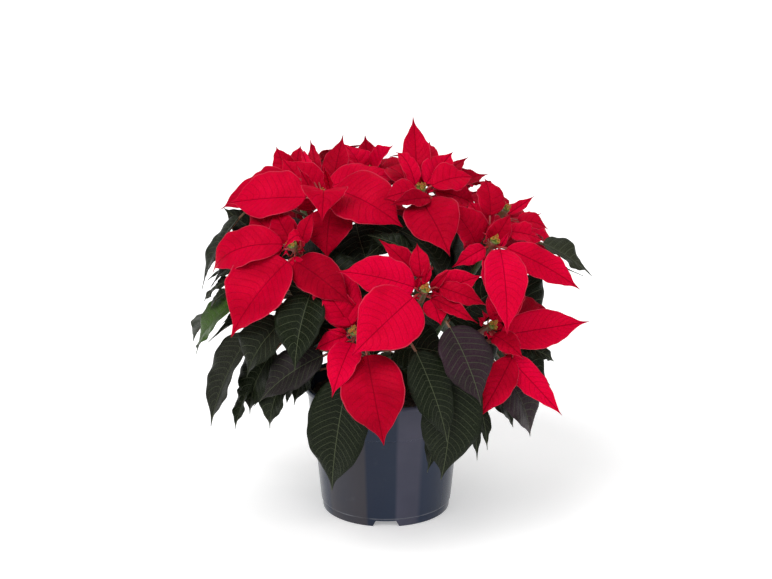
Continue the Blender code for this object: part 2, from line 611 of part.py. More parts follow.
def plan():
    """Every stem, bloom and sheet, placed so that no sheet crosses another node."""
    rng = random.Random(SEED)
    placed = Placed()
    blooms = [(name, plant, seen(*heart), rows) for name, plant, heart, rows in FRONT_BLOOMS]
    blooms += [(name, plant, heart, ()) for name, plant, heart in BACK_BLOOMS]
    stems = []
    forks = [0, 0, 0]
    for plant, main in enumerate(MAIN_STEMS):
        line = [main + UP * MAIN_FOOT, main + UP * MAIN_TOP]
        tube = tube_sides(line, [MAIN_RADIUS] * 2, 0.0)
        placed.add("plant_%d" % (plant + 1), tube, tube)
    for name, plant, heart, rows in blooms:
        line = stem_line(plant, heart, forks[plant])
        forks[plant] += 1
        stems.append((plant, line))
        tube = tube_sides(line, [STEM_RADIUS] * len(line), 0.0)
        placed.add("plant_%d" % (plant + 1), tube, tube)
        axis = bloom_axis(heart)
        stalk = [heart - axis * STALK_LENGTH, heart]
        placed.add(name, tube_sides(stalk, [STALK_RADIUS, STALK_TOP], 0.0), None)
        cups = [heart + axis * CLEAR, heart + axis * (CUP_HEIGHT + 3.0)]
        placed.add(name + "_cyathia", tube_sides(cups, [CUP_SPACE] * 2, 0.0), None)
    rim = POT_HEIGHT + 1.0
    radius = WALL_RADIUS + WALL_FLARE * (POT_HEIGHT - FOOT_HEIGHT) + COLLAR_STEP + LIP_OVERHANG
    pot = []
    for step in range(24):
        turn = 2.0 * math.pi * step / 24
        pot.append(Vector((math.cos(turn), math.sin(turn), 0.0)))
    ring = [point * (radius + 0.8) + UP * rim for point in pot]
    foot = [point * (WALL_RADIUS + 1.0) + UP * 2.0 for point in pot]
    soil = [point * (radius - 12.0) + UP * (SOIL_TOP + 4.0) for point in pot]
    sides = [(i, (i + 1) % 24, 24 + (i + 1) % 24, 24 + i) for i in range(24)]
    sides += [(i, (i + 1) % 24, 48 + (i + 1) % 24, 48 + i) for i in range(24)]
    placed.add("pot", (ring + foot + soil, sides), None)

    shapes = []
    exact = moves_of(
        (0, 5, -5, 10, -10, 16, -16, 24, -24, 34, -34, 46),
        (0, 14, -14, 28, -28, 42, -42),
        (0, 5, -5, 10, 16),
        (1.0, 0.9, 0.78),
        (0,),
    )
    leafy = moves_of(
        (0, 6, -6, 12, -12, 20, -20, 30, -30),
        (0, 16, -16, 32, -32),
        (0, 6, 12),
        (1.0, 0.88, 0.74),
        (0, 1, 2, 3, 5, 7),
    )
    free = moves_of(
        (0, 8, -8, 16, -16, 26, -26, 38, -38),
        (0, 16, -16, 32, -32),
        (0, 6),
        (1.0, 0.86, 0.72, 0.58),
        (0, 2),
    )

    def put(node, sheet, moves, needed):
        shape = settle(node, sheet, moves, placed)
        if shape is None:
            if needed:
                print("no room for a sheet of", node, tuple(round(value) for value in drawn(sheet["tip"])))
            return
        placed.add(node, sheet_sides(shape, 0.0), sheet_sides(shape, 0.0, OWN_FROM))
        shapes.append((node, shape))

    queue = []
    for name, plant, heart, rows in blooms:
        axis = bloom_axis(heart)
        for layer, (base, tip, width, arch) in enumerate(sorted(rows, key=lambda row: row[2])):
            base = seen(*base)
            tip = seen(*tip)
            foot, base = bract_root(heart, axis, base, tip, layer)
            label = "%s %d" % (name, layer)
            # A bract that folds over keeps its fold level
            hint = UP if arch > FOLDED else axis + NEAR * 0.7
            sheet = new_sheet(label, "bract", base, tip, width, arch, hint, [foot], NEAR, True, rng)
            queue.append((-(base + tip).dot(NEAR) - 2.0 * width, name, sheet))
    queue.sort(key=lambda item: item[0])
    for _, name, sheet in queue:
        put(name, sheet, exact, True)
    leaf_rows = [("leaf %d" % order, row, rng) for order, row in enumerate(FRONT_LEAVES)]
    inner = random.Random(SEED + 3)
    leaf_rows += [("inner %d" % order, row, inner) for order, row in enumerate(INNER_LEAVES)]
    for label, (base, tip, width, arch), source in leaf_rows:
        base = seen(*base)
        tip = seen(*tip)
        roots = nearest_roots(base, stems, 8)
        middle = (base + tip) * 0.5
        hint = UP * 0.8 + Vector((middle.x, middle.y, 0.0)).normalized()
        best = [place for place in roots if place[1] == roots[0][1]]
        node = "plant_%d" % (roots[0][1] + 1)
        best = [place[2] for place in best]
        sheet = new_sheet(label, "leaf", base, tip, width, arch, hint, best, NEAR, True, source)
        put(node, sheet, leafy, True)
    for name, plant, heart, rows in blooms:
        axis = bloom_axis(heart)
        ruled = RULED_BRACTS.get(name, BACK_BRACTS if not rows else 0)
        level = across(UP, axis)
        other = axis.cross(level)
        first = rng.uniform(0.0, 6.0)
        for order in range(COLLAR_BRACTS if len(rows) > 5 else 0):
            angle = first + 2.0 * math.pi * order / COLLAR_BRACTS
            outward = level * math.cos(angle) + other * math.sin(angle)
            long = rng.uniform(*COLLAR_LENGTHS)
            tip = heart + outward * (8.0 + long * 0.45) + axis * (long * 0.8)
            foot, base = bract_root(heart, axis, heart, tip, 0)
            sheet = new_sheet("collar", "bract", base, tip, long * 0.4, 3.0, axis, [foot], axis, False, rng)
            put(name, sheet, free, False)
        first = rng.uniform(0.0, 6.0)
        away = math.atan2(-NEAR.dot(other), -NEAR.dot(level))
        for order in range(ruled):
            if rows:
                angle = away + math.radians(34.0) * (order - (ruled - 1) / 2)
            else:
                angle = first + GOLDEN * order
            share = 1.0 - order / max(1, ruled)
            long = BRACT_LENGTHS[0] + (BRACT_LENGTHS[1] - BRACT_LENGTHS[0]) * share * rng.uniform(0.85, 1.05)
            outward = level * math.cos(angle) + other * math.sin(angle)
            tilt = math.radians(70.0 + 24.0 * share + rng.uniform(-6.0, 6.0))
            tip = heart + (axis * math.cos(tilt) + outward * math.sin(tilt)) * long
            foot, base = bract_root(heart, axis, heart, tip, ruled - order)
            width = long * rng.uniform(0.44, 0.56)
            sheet = new_sheet("ruled", "bract", base, tip, width, long * 0.1, axis, [foot], axis, False, rng)
            put(name, sheet, free, False)
    for count, begin, finish, near_radius, low, far_radius, high in LEAF_RINGS:
        for order in range(count):
            bearing = math.radians(begin + (finish - begin) * order / (count - 1) + rng.uniform(-7.0, 7.0))
            out = Vector((math.cos(bearing), math.sin(bearing), 0.0))
            base = out * (near_radius * rng.uniform(0.9, 1.1)) + UP * (low + rng.uniform(-8.0, 8.0))
            swing = Matrix.Rotation(rng.uniform(-0.2, 0.2), 3, "Z")
            tip = swing @ out * (far_radius * rng.uniform(0.92, 1.06)) + UP * (high + rng.uniform(-14.0, 14.0))
            width = rng.uniform(*LEAF_WIDTHS)
            roots = nearest_roots(base, stems, 8)
            best = [place[2] for place in roots if place[1] == roots[0][1]]
            sheet = new_sheet("ruled", "leaf", base, tip, width, 9.0, UP * 0.8 + out, best, UP, False, rng)
            put("plant_%d" % (roots[0][1] + 1), sheet, leafy, False)
    return blooms, stems, shapes


# Building


def to_object(name, bm, collection):
    mesh = bpy.data.meshes.new(name)
    bm.to_mesh(mesh)
    bm.free()
    obj = bpy.data.objects.new(name, mesh)
    collection.objects.link(obj)
    return obj


def new_collection(name):
    collection = bpy.data.collections.new(name)
    bpy.context.scene.collection.children.link(collection)
    return collection


def add_material(obj, color, roughness):
    material = bpy.data.materials.new(obj.name)
    material.use_nodes = True
    shader = material.node_tree.nodes["Principled BSDF"]
    shader.inputs["Base Color"].default_value = (*color, 1.0)
    shader.inputs["Roughness"].default_value = roughness
    obj.data.materials.clear()
    obj.data.materials.append(material)


def build_sheet(shape, collection):
    """A folded blade on its petiole: a flat grid bent by sheet_point, then made solid."""
    rows = sheet_rows(shape)
    bm = bmesh.new()
    bmesh.ops.create_grid(bm, x_segments=2, y_segments=len(rows) - 1, size=1.0)
    last = len(rows) - 1
    thick = bm.verts.layers.deform.verify()
    tip = []
    for vertex in bm.verts:
        row = round((vertex.co.y + 1.0) * 0.5 * last)
        vertex.co = sheet_point(shape, rows[row], round(vertex.co.x)) * MM
        vertex[thick][0] = sheet_thickness(rows[row]) / PETIOLE_THICK
        if row == last:
            tip.append(vertex)
    bmesh.ops.pointmerge(bm, verts=tip, merge_co=shape["tip"] * MM)
    bmesh.ops.triangulate(bm, faces=bm.faces[:], quad_method="FIXED")
    obj = to_object("sheet", bm, collection)
    obj.vertex_groups.new(name="thick")
    solid = obj.modifiers.new("Solid", "SOLIDIFY")
    solid.thickness = PETIOLE_THICK * MM
    solid.vertex_group = "thick"
    solid.offset = 0.0
    return obj


def build_tube(line, radii, sides, collection):
    """A round stem along a line, with closed ends."""
    curve = bpy.data.curves.new("tube", "CURVE")
    curve.dimensions = "3D"
    curve.bevel_depth = MM
    curve.bevel_resolution = sides
    curve.use_fill_caps = True
    spline = curve.splines.new("POLY")
    spline.points.add(len(line) - 1)
    for index, point in enumerate(line):
        spline.points[index].co = (*(point * MM), 1.0)
        spline.points[index].radius = radii[index]
    guide = bpy.data.objects.new("tube", curve)
    mesh = bpy.data.meshes.new_from_object(guide)
    bpy.data.objects.remove(guide)
    bm = bmesh.new()
    bm.from_mesh(mesh)
    bpy.data.meshes.remove(mesh)
    bmesh.ops.remove_doubles(bm, verts=bm.verts[:], dist=0.000002)
    bmesh.ops.recalc_face_normals(bm, faces=bm.faces[:])
    return to_object("tube", bm, collection)


def fuse(obj, pieces):
    """One union of the object with everything in the collection, which goes."""
    union = obj.modifiers.new("Union", "BOOLEAN")
    union.operation = "UNION"
    union.operand_type = "COLLECTION"
    union.collection = pieces
    union.solver = "MANIFOLD"
    apply_all(obj)
    for piece in list(pieces.objects):
        bpy.data.objects.remove(piece)
    bpy.data.collections.remove(pieces)


def apply_all(obj):
    bpy.context.view_layer.update()
    graph = bpy.context.evaluated_depsgraph_get()
    mesh = bpy.data.meshes.new_from_object(obj.evaluated_get(graph))
    old = obj.data
    obj.modifiers.clear()
    obj.data = mesh
    bpy.data.meshes.remove(old)


def build_leafy(node, tubes, shapes, collection):
    """Stems and their sheets as one body: the first tube takes in everything else."""
    pieces = new_collection(node + "_pieces")
    body = build_tube(*tubes[0], pieces)
    pieces.objects.unlink(body)
    collection.objects.link(body)
    body.name = node
    for tube in tubes[1:]:
        build_tube(*tube, pieces)
    for shape in shapes:
        build_sheet(shape, pieces)
    fuse(body, pieces)
    return body


def build_cups(name, heart, collection):
    """The cyathia: small flared cups on a shared cushion."""
    pieces = new_collection(name + "_pieces")
    axis = bloom_axis(heart)
    turn = axis.to_track_quat("Z", "Y").to_matrix().to_4x4()
    base = Matrix.Translation((heart + axis * (CLEAR + 0.9)) * MM) @ turn
    bm = bmesh.new()
    bmesh.ops.create_cone(
        bm, cap_ends=True, segments=6, radius1=4.2 * MM, radius2=4.9 * MM, depth=1.8 * MM, matrix=base
    )
    body = to_object(name, bm, collection)
    for order in range(CUPS):
        angle = 2.0 * math.pi * order / (CUPS - 1) + heart.x
        ring = CUP_RING * 0.85 if order < CUPS - 1 else 0.0
        tall = CUP_HEIGHT * (0.85 if order < CUPS - 1 else 1.15)
        lean = Matrix.Rotation(angle, 4, "Z") @ Matrix.Rotation(math.radians(16.0 if ring else 0.0), 4, "Y")
        lift = Matrix.Translation(Vector((ring * math.cos(angle), ring * math.sin(angle), 0.2)) * MM)
        place = base @ lift @ lean @ Matrix.Translation((0.0, 0.0, tall * 0.5 * MM))
        bm = bmesh.new()
        bmesh.ops.create_cone(
            bm, cap_ends=True, segments=5, radius1=CUP_FOOT * MM, radius2=CUP_TOP * MM,
            depth=tall * MM, matrix=place,
        )
        to_object("cup", bm, pieces)
    fuse(body, pieces)
    return body


def build_profile(name, profile, steps, collection):
    """Turns a profile, written from the axis and down its outer side, round Z."""
    bm = bmesh.new()
    corners = [bm.verts.new((radius * MM, 0.0, height * MM)) for radius, height in profile]
    for first, second in zip(corners, corners[1:]):
        bm.edges.new((first, second))
    obj = to_object(name, bm, collection)
    screw = obj.modifiers.new("Turn", "SCREW")
    screw.steps = steps
    screw.render_steps = steps
    screw.use_merge_vertices = True
    screw.merge_threshold = 0.00005
    apply_all(obj)
    bm = bmesh.new()
    bm.from_mesh(obj.data)
    bmesh.ops.recalc_face_normals(bm, faces=bm.faces[:])
    bm.to_mesh(obj.data)
    bm.free()
    return obj


def build_pot(collection):
    foot = WALL_RADIUS
    waist = WALL_RADIUS + WALL_FLARE * (COLLAR_FOOT - FOOT_HEIGHT)
    collar = waist + COLLAR_STEP
    top = WALL_RADIUS + WALL_FLARE * (POT_HEIGHT - FOOT_HEIGHT) + COLLAR_STEP
    inner = WALL_RADIUS + WALL_FLARE * (FLOOR_TOP - FOOT_HEIGHT) - WALL
    profile = (
        (0.0, FLOOR_TOP),
        (inner, FLOOR_TOP),
        (waist - WALL, COLLAR_FOOT - 1.5),
        (collar - WALL, COLLAR_FOOT + 1.5),
        (top - 0.6, POT_HEIGHT),
        (top + LIP_OVERHANG - 1.0, POT_HEIGHT),
        (top + LIP_OVERHANG, POT_HEIGHT - 1.2),
        (top + LIP_OVERHANG, POT_HEIGHT - LIP_HEIGHT),
        (top - 0.4, POT_HEIGHT - LIP_HEIGHT),
        (collar, COLLAR_FOOT + 0.8),
        (waist, COLLAR_FOOT),
        (foot, FOOT_HEIGHT),
        (FOOT_RADIUS, FOOT_HEIGHT - 0.6),
        (FOOT_RADIUS - 0.7, 0.0),
        (FOOT_RADIUS - 2.6, 0.0),
        (FOOT_RADIUS - 3.0, FLOOR_TOP - FLOOR),
        (0.0, FLOOR_TOP - FLOOR),
    )
    pot = build_profile("pot", profile, POT_STEPS, collection)
    cutters = new_collection("pot_cutters")
    for order in range(NOTCHES):
        bm = bmesh.new()
        bmesh.ops.create_cube(bm, size=1.0)
        turn = Matrix.Rotation(2.0 * math.pi * order / NOTCHES, 4, "Z")
        for vertex in bm.verts:
            high = vertex.co.z > 0.0
            width = NOTCH_TOP_WIDTH if high else NOTCH_FOOT_WIDTH + 4.0
            height = NOTCH_HEIGHT if high else -4.0
            deep = FOOT_RADIUS - 8.0 if vertex.co.y > 0.0 else FOOT_RADIUS + 8.0
            vertex.co = turn @ (Vector((width * 0.5 * math.copysign(1.0, vertex.co.x), -deep, height)) * MM)
        to_object("notch", bm, cutters)
    for order in range(DRAIN_HOLES):
        angle = 2.0 * math.pi * (order + 0.5) / DRAIN_HOLES
        spot = Vector((math.cos(angle) * DRAIN_CIRCLE, math.sin(angle) * DRAIN_CIRCLE, FLOOR_TOP - 1.2)) * MM
        bm = bmesh.new()
        bmesh.ops.create_cone(
            bm, cap_ends=True, segments=8, radius1=DRAIN_RADIUS * MM, radius2=DRAIN_RADIUS * MM,
            depth=10.0 * MM, matrix=Matrix.Translation(spot),
        )
        to_object("drain", bm, cutters)
    cut(pot, cutters)
    return pot


def cut(obj, cutters):
    difference = obj.modifiers.new("Cut", "BOOLEAN")
    difference.operation = "DIFFERENCE"
    difference.operand_type = "COLLECTION"
    difference.collection = cutters
    difference.solver = "MANIFOLD"
    apply_all(obj)
    for piece in list(cutters.objects):
        bpy.data.objects.remove(piece)
    bpy.data.collections.remove(cutters)


def build_soil(collection):
    rng = random.Random(SEED + 1)
    low = FLOOR_TOP + CLEAR + 0.4
    inner = WALL_RADIUS + WALL_FLARE * (low - FOOT_HEIGHT) - WALL - CLEAR - 2.4
    shoulder = WALL_RADIUS + WALL_FLARE * (COLLAR_FOOT - FOOT_HEIGHT) - WALL - CLEAR - 0.2
    top = WALL_RADIUS + WALL_FLARE * (SOIL_TOP - FOOT_HEIGHT) + COLLAR_STEP - WALL - CLEAR - 0.5
    profile = [(0.0, SOIL_TOP + 1.0)]
    for radius in (20.0, 40.0, 60.0):
        profile.append((radius, SOIL_TOP + 1.0))
    profile += [(top, SOIL_TOP - 2.0), (shoulder, COLLAR_FOOT - 2.5), (inner, low), (0.0, low)]
    soil = build_profile("soil", profile, SOIL_STEPS, collection)
    for vertex in soil.data.vertices:
        if vertex.co.z > SOIL_TOP * MM and math.hypot(vertex.co.x, vertex.co.y) > 0.001:
            vertex.co.z += rng.uniform(-SOIL_LUMP, SOIL_LUMP) * MM
    cutters = new_collection("soil_cutters")
    for main in MAIN_STEMS:
        bm = bmesh.new()
        spot = Matrix.Translation((main + UP * (MAIN_FOOT + 40.0 - CLEAR)) * MM)
        wide = (MAIN_RADIUS + CLEAR + 0.4) * MM
        bmesh.ops.create_cone(
            bm, cap_ends=True, segments=10, radius1=wide, radius2=wide, depth=80.0 * MM, matrix=spot
        )
        to_object("hole", bm, cutters)
    cut(soil, cutters)
    return soil


def build():
    for obj in list(bpy.data.objects):
        bpy.data.objects.remove(obj)
    bpy.context.scene.unit_settings.system = "METRIC"
    blooms, stems, shapes = plan()
    collection = new_collection("poinsettia")
    add_material(build_pot(collection), (0.045, 0.05, 0.09), 0.25)
    add_material(build_soil(collection), (0.05, 0.035, 0.025), 0.95)
    for plant, main in enumerate(MAIN_STEMS):
        node = "plant_%d" % (plant + 1)
        tubes = [([main + UP * MAIN_FOOT, main + UP * MAIN_TOP], [MAIN_RADIUS, MAIN_RADIUS * 0.85], 1)]
        for owner, line in stems:
            if owner == plant:
                tubes.append((line, [STEM_RADIUS * 1.2] + [STEM_RADIUS] * (len(line) - 1), 1))
        own = [shape for name, shape in shapes if name == node]
        add_material(build_leafy(node, tubes, own, collection), (0.05, 0.11, 0.04), 0.5)
    for name, _, heart, _ in blooms:
        axis = bloom_axis(heart)
        stalk = ([heart - axis * STALK_LENGTH, heart], [STALK_RADIUS, STALK_TOP], 1)
        own = [shape for node, shape in shapes if node == name]
        add_material(build_leafy(name, [stalk], own, collection), (0.6, 0.0, 0.03), 0.45)
        add_material(build_cups(name + "_cyathia", heart, collection), (0.55, 0.6, 0.1), 0.5)


build()
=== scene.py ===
"""Looks of the potted poinsettia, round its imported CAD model.

The plan of the plant below is the one that its CAD source follows, so that each finer piece keeps to the form
of the node that it stands for. Lengths in the plan are in millimetres, and MM turns them into metres.
"""

import json
import math
import random

import bmesh
import bpy
import numpy as np
from mathutils import Matrix, Vector, noise
from mathutils.bvhtree import BVHTree

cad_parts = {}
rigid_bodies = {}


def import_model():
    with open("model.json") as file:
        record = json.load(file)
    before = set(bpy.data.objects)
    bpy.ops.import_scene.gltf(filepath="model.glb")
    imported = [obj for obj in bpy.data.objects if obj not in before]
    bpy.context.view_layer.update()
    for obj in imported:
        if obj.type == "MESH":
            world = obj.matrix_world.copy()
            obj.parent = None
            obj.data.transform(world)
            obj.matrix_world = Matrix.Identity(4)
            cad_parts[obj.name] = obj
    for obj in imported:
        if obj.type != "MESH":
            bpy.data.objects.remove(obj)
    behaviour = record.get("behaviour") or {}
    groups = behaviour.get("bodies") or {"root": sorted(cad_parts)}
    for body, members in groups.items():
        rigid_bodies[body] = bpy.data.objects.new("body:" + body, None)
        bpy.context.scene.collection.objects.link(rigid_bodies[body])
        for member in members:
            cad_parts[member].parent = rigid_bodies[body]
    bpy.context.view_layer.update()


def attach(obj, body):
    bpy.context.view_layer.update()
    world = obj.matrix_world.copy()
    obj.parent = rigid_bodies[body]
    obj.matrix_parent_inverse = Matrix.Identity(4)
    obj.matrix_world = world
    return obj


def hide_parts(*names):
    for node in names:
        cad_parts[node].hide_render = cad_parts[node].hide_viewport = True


MM = 0.001
UP = Vector((0.0, 0.0, 1.0))

# Pot: a notched foot ring, a flared wall, a collar and a lip
POT_HEIGHT = 133.0
FOOT_RADIUS = 65.0
FOOT_HEIGHT = 8.5
WALL_RADIUS = 65.9
WALL_FLARE = 0.098
COLLAR_FOOT = 95.0
COLLAR_STEP = 2.2
LIP_OVERHANG = 3.0
LIP_HEIGHT = 5.0
WALL = 1.6
FLOOR_TOP = 10.0
FLOOR = 2.4
POT_STEPS = 32
NOTCHES = 3
NOTCH_HEIGHT = 6.2
NOTCH_TOP_WIDTH = 20.6
NOTCH_FOOT_WIDTH = 26.5
DRAIN_HOLES = 6
DRAIN_RADIUS = 5.0
DRAIN_CIRCLE = 42.0

# Root ball: peat with a lumpy top, and a plain hole for each main stem
SOIL_TOP = 119.0
SOIL_LUMP = 1.8
SOIL_STEPS = 24
CLEAR = 0.3

# Main stems: stubby and pinched out
MAIN_STEMS = (Vector((0.0, -24.0, 0.0)), Vector((-21.0, 13.0, 0.0)), Vector((21.0, 13.0, 0.0)))
MAIN_RADIUS = 6.0
MAIN_FOOT = 70.0
MAIN_TOP = 170.0
FORK_HEIGHTS = (136.0, 144.0, 152.0, 160.0, 166.0)

# Leafy stems, the red stalk of each bloom, and its flower cups
STEM_RADIUS = 3.2
STALK_LENGTH = 22.0
STALK_RADIUS = 3.3
STALK_TOP = 4.2
CUPS = 4
CUP_RING = 2.9
CUP_FOOT = 1.2
CUP_TOP = 1.8
CUP_HEIGHT = 4.2
CUP_SPACE = 7.4

# Sheets: bracts and leaves are one kind of thin folded blade on a stalk
SHEET_THICK = 0.7
ROOM = 2.2
PETIOLE_THICK = 2.2
PETIOLE_WIDTH = 3.0
TIP_WIDTH = 0.9
WAVES = 1.6
# Where a sheet has rows of corners: -1 is the petiole's root, 0 the base of the blade and 1 its tip
BROAD_ROWS = (-1.0, 0.0, 0.2, 0.5, 0.8, 1.0)
BRACT_ROWS = (-1.0, 0.0, 0.3, 0.7, 1.0)
LEAF_ROWS = (-1.0, -0.5, 0.0, 0.24, 0.62, 1.0)
SMALL_ROWS = (-1.0, 0.45, 1.0)
SHORT_PETIOLE = 45.0
SMALL_SHEET = 36.0
BROAD_SHEET = 38.0
OWN_FROM = -0.6

# The front of the plant is set out as it is seen from there, from a little above: how far right, how far up and
# how near to the eye, in millimetres, from the middle of the crown
CROWN = Vector((0.0, 0.0, 229.5))
EYE_DISTANCE = 2500.0
EYE_LIFT = math.radians(17.6)
RIGHT = Vector((1.0, 0.0, 0.0))
RISE = Vector((0.0, math.sin(EYE_LIFT), math.cos(EYE_LIFT)))
NEAR = Vector((0.0, -math.cos(EYE_LIFT), math.sin(EYE_LIFT)))

# Blooms of the front: main stem, heart, then bracts as base and tip (right, rise, near), width and arch
FRONT_BLOOMS = (
    ("bloom_01", 1, (-63, 94, 88), (
        ((-80, 92, 90), (-158, 86, 60), 46, 3),
        ((-62, 90, 108), (-64, 66, 138), 44, 22),
        ((-52, 100, 100), (17, 62, 122), 52, 8),
        ((-65, 102, 86), (-105, 132, 68), 46, 6),
        ((-48, 106, 70), (-16, 112, 60), 30, 5),
        ((-58, 102, 90), (-43, 156, 66), 28, 6),
        ((-54, 80, 88), (-59, 30, 106), 48, 8),
        ((-96, 110, 70), (-166, 80, 25), 32, 8),
        ((-58, 102, 84), (19, 112, 62), 28, 7),
        ((-68, 110, 82), (-77, 152, 50), 13, 4),
        ((-74, 112, 82), (-85, 141, 58), 11, 4),
        ((-71, 102, 96), (-89, 124, 102), 10, 3),
        ((-63, 104, 98), (-62, 122, 104), 8, 2),
    )),
    ("bloom_02", 1, (-93, 44, 122), (
        ((-98, 28, 126), (-155, -48, 120), 58, 7),
        ((-90, 28, 126), (-33, -16, 152), 40, 7),
        ((-103, 45, 116), (-173, 17, 80), 35, 9),
        ((-106, 44, 106), (-163, 30, 58), 30, 8),
        ((-108, 50, 104), (-137, 78, 72), 28, 5),
        ((-96, 48, 116), (-112, 80, 94), 26, 5),
        ((-92, 48, 122), (-73, 78, 126), 16, 4),
        ((-84, 43, 128), (-104, 38, 138), 11, 3),
        ((-104, 40, 114), (-142, 34, 108), 24, 4),
        ((-92, 30, 116), (-86, 4, 124), 20, 3),
        ((-93, 48, 122), (-93, 67, 132), 8, 2),
    )),
    ("bloom_03", 0, (35, 100, 98), (
        ((35, 88, 108), (64, 33, 142), 52, 8),
        ((34, 104, 94), (27, 173, 58), 28, 7),
        ((42, 107, 90), (83, 133, 60), 20, 5),
        ((40, 106, 92), (67, 138, 74), 28, 5),
        ((46, 104, 98), (88, 112, 88), 26, 5),
        ((32, 97, 108), (-2, 90, 116), 25, 4),
        ((44, 91, 112), (4, 84, 126), 16, 4),
        ((29, 104, 90), (10, 137, 70), 16, 4),
        ((54, 104, 76), (103, 116, 48), 20, 5),
        ((32, 108, 80), (44, 148, 30), 26, 6),
        ((50, 98, 80), (90, 84, 72), 30, 4),
        ((22, 106, 78), (0, 122, 60), 26, 4),
    )),
    ("bloom_04", 0, (39, 0, 155), (
        ((27, -8, 166), (-34, -66, 186), 62, 10),
        ((28, 2, 156), (-50, 18, 164), 39, 8),
        ((46, 6, 154), (96, 14, 148), 31, 6),
        ((30, 14, 144), (-7, 50, 134), 18, 5),
        ((35, 12, 146), (31, 46, 138), 19, 5),
        ((54, 2, 152), (101, -16, 158), 20, 5),
        ((44, -4, 160), (92, -34, 168), 14, 5),
        ((46, -10, 150), (55, -36, 158), 24, 4),
        ((43, 6, 154), (43, 32, 158), 9, 2),
        ((45, 2, 162), (64, 20, 168), 9, 4),
        ((45, 2, 164), (33, 13, 170), 7, 3),
    )),
    ("bloom_05", 2, (108, 48, 110), (
        ((114, 40, 118), (121, -46, 150), 40, 9),
        ((104, 48, 114), (60, 86, 126), 36, 6),
        ((104, 74, 94), (99, 110, 76), 28, 5),
        ((121, 58, 98), (158, 48, 80), 20, 4),
        ((121, 41, 110), (194, 0, 88), 29, 6),
        ((108, 50, 108), (125, 76, 104), 22, 4),
        ((104, 42, 114), (66, 22, 126), 18, 5),
        ((109, 40, 110), (102, -10, 122), 24, 5),
        ((126, 38, 98), (155, 10, 82), 16, 4),
        ((98, 58, 90), (82, 88, 82), 26, 5),
        ((106, 48, 118), (124, 58, 124), 6, 3),
        ((109, 54, 112), (112, 72, 120), 6, 2),
    )),
    ("bloom_06", 2, (119, 80, 50), (
        ((122, 82, 50), (149, 94, 38), 10, 4),
        ((132, 70, 52), (155, 76, 44), 11, 3),
        ((133, 68, 54), (162, 60, 50), 15, 4),
        ((124, 80, 52), (115, 93, 52), 8, 2),
    )),
    ("bloom_07", 0, (-32, -42, 153), (
        ((-19, -66, 158), (-2, -156, 162), 60, 12),
        ((-34, -37, 150), (-65, 5, 148), 30, 6),
        ((-34, -48, 156), (-54, -108, 174), 30, 7),
        ((-36, -46, 146), (-70, -60, 138), 18, 5),
        ((-34, -42, 160), (-58, -40, 166), 7, 3),
        ((-32, -40, 160), (-28, -28, 168), 6, 2),
    )),
    ("bloom_08", 2, (106, -36, 116), (
        ((114, -46, 110), (203, -32, 76), 38, 0),
        ((120, -66, 118), (176, -126, 112), 26, 2),
        ((126, -68, 120), (92, -130, 130), 30, 7),
        ((105, -42, 120), (138, -70, 130), 20, 5),
        ((104, -36, 118), (92, -28, 126), 8, 2),
        ((108, -36, 118), (114, -24, 124), 7, 2),
    )),
    ("bloom_09", 1, (-16, 116, 26), (
        ((-17, 122, 28), (-21, 155, 18), 30, 5),
        ((-8, 122, 28), (7, 142, 24), 24, 4),
        ((-24, 120, 28), (-44, 146, 22), 26, 5),
        ((-4, 118, 30), (24, 128, 30), 26, 5),
        ((-24, 116, 32), (-48, 118, 40), 26, 5),
    )),
    ("bloom_10", 1, (-98, 114, -30), (
        ((-101, 118, -28), (-110, 143, -40), 24, 4),
        ((-96, 118, -28), (-86, 145, -34), 18, 3),
        ((-104, 112, -22), (-126, 104, 0), 22, 5),
    )),
)

# Blooms of the back: main stem and heart, in plain x, y and z
BACK_BLOOMS = (
    ("bloom_11", 2, Vector((62.0, 84.0, 316.0))),
    ("bloom_12", 2, Vector((112.0, 78.0, 268.0))),
    ("bloom_13", 1, Vector((-20.0, 122.0, 296.0))),
    ("bloom_14", 1, Vector((-98.0, 122.0, 256.0))),
    ("bloom_15", 2, Vector((44.0, 150.0, 246.0))),
)
# How many bracts the rule adds: most where none are listed
RULED_BRACTS = {"bloom_06": 5, "bloom_09": 5, "bloom_10": 6, "bloom_05": 1, "bloom_08": 2, "bloom_07": 1}
BACK_BRACTS = 8
BRACT_LENGTHS = (46.0, 88.0)
# The smallest bracts stand up round the flower cups
COLLAR_BRACTS = 3
FOLDED = 20
COLLAR_LENGTHS = (11.0, 21.0)

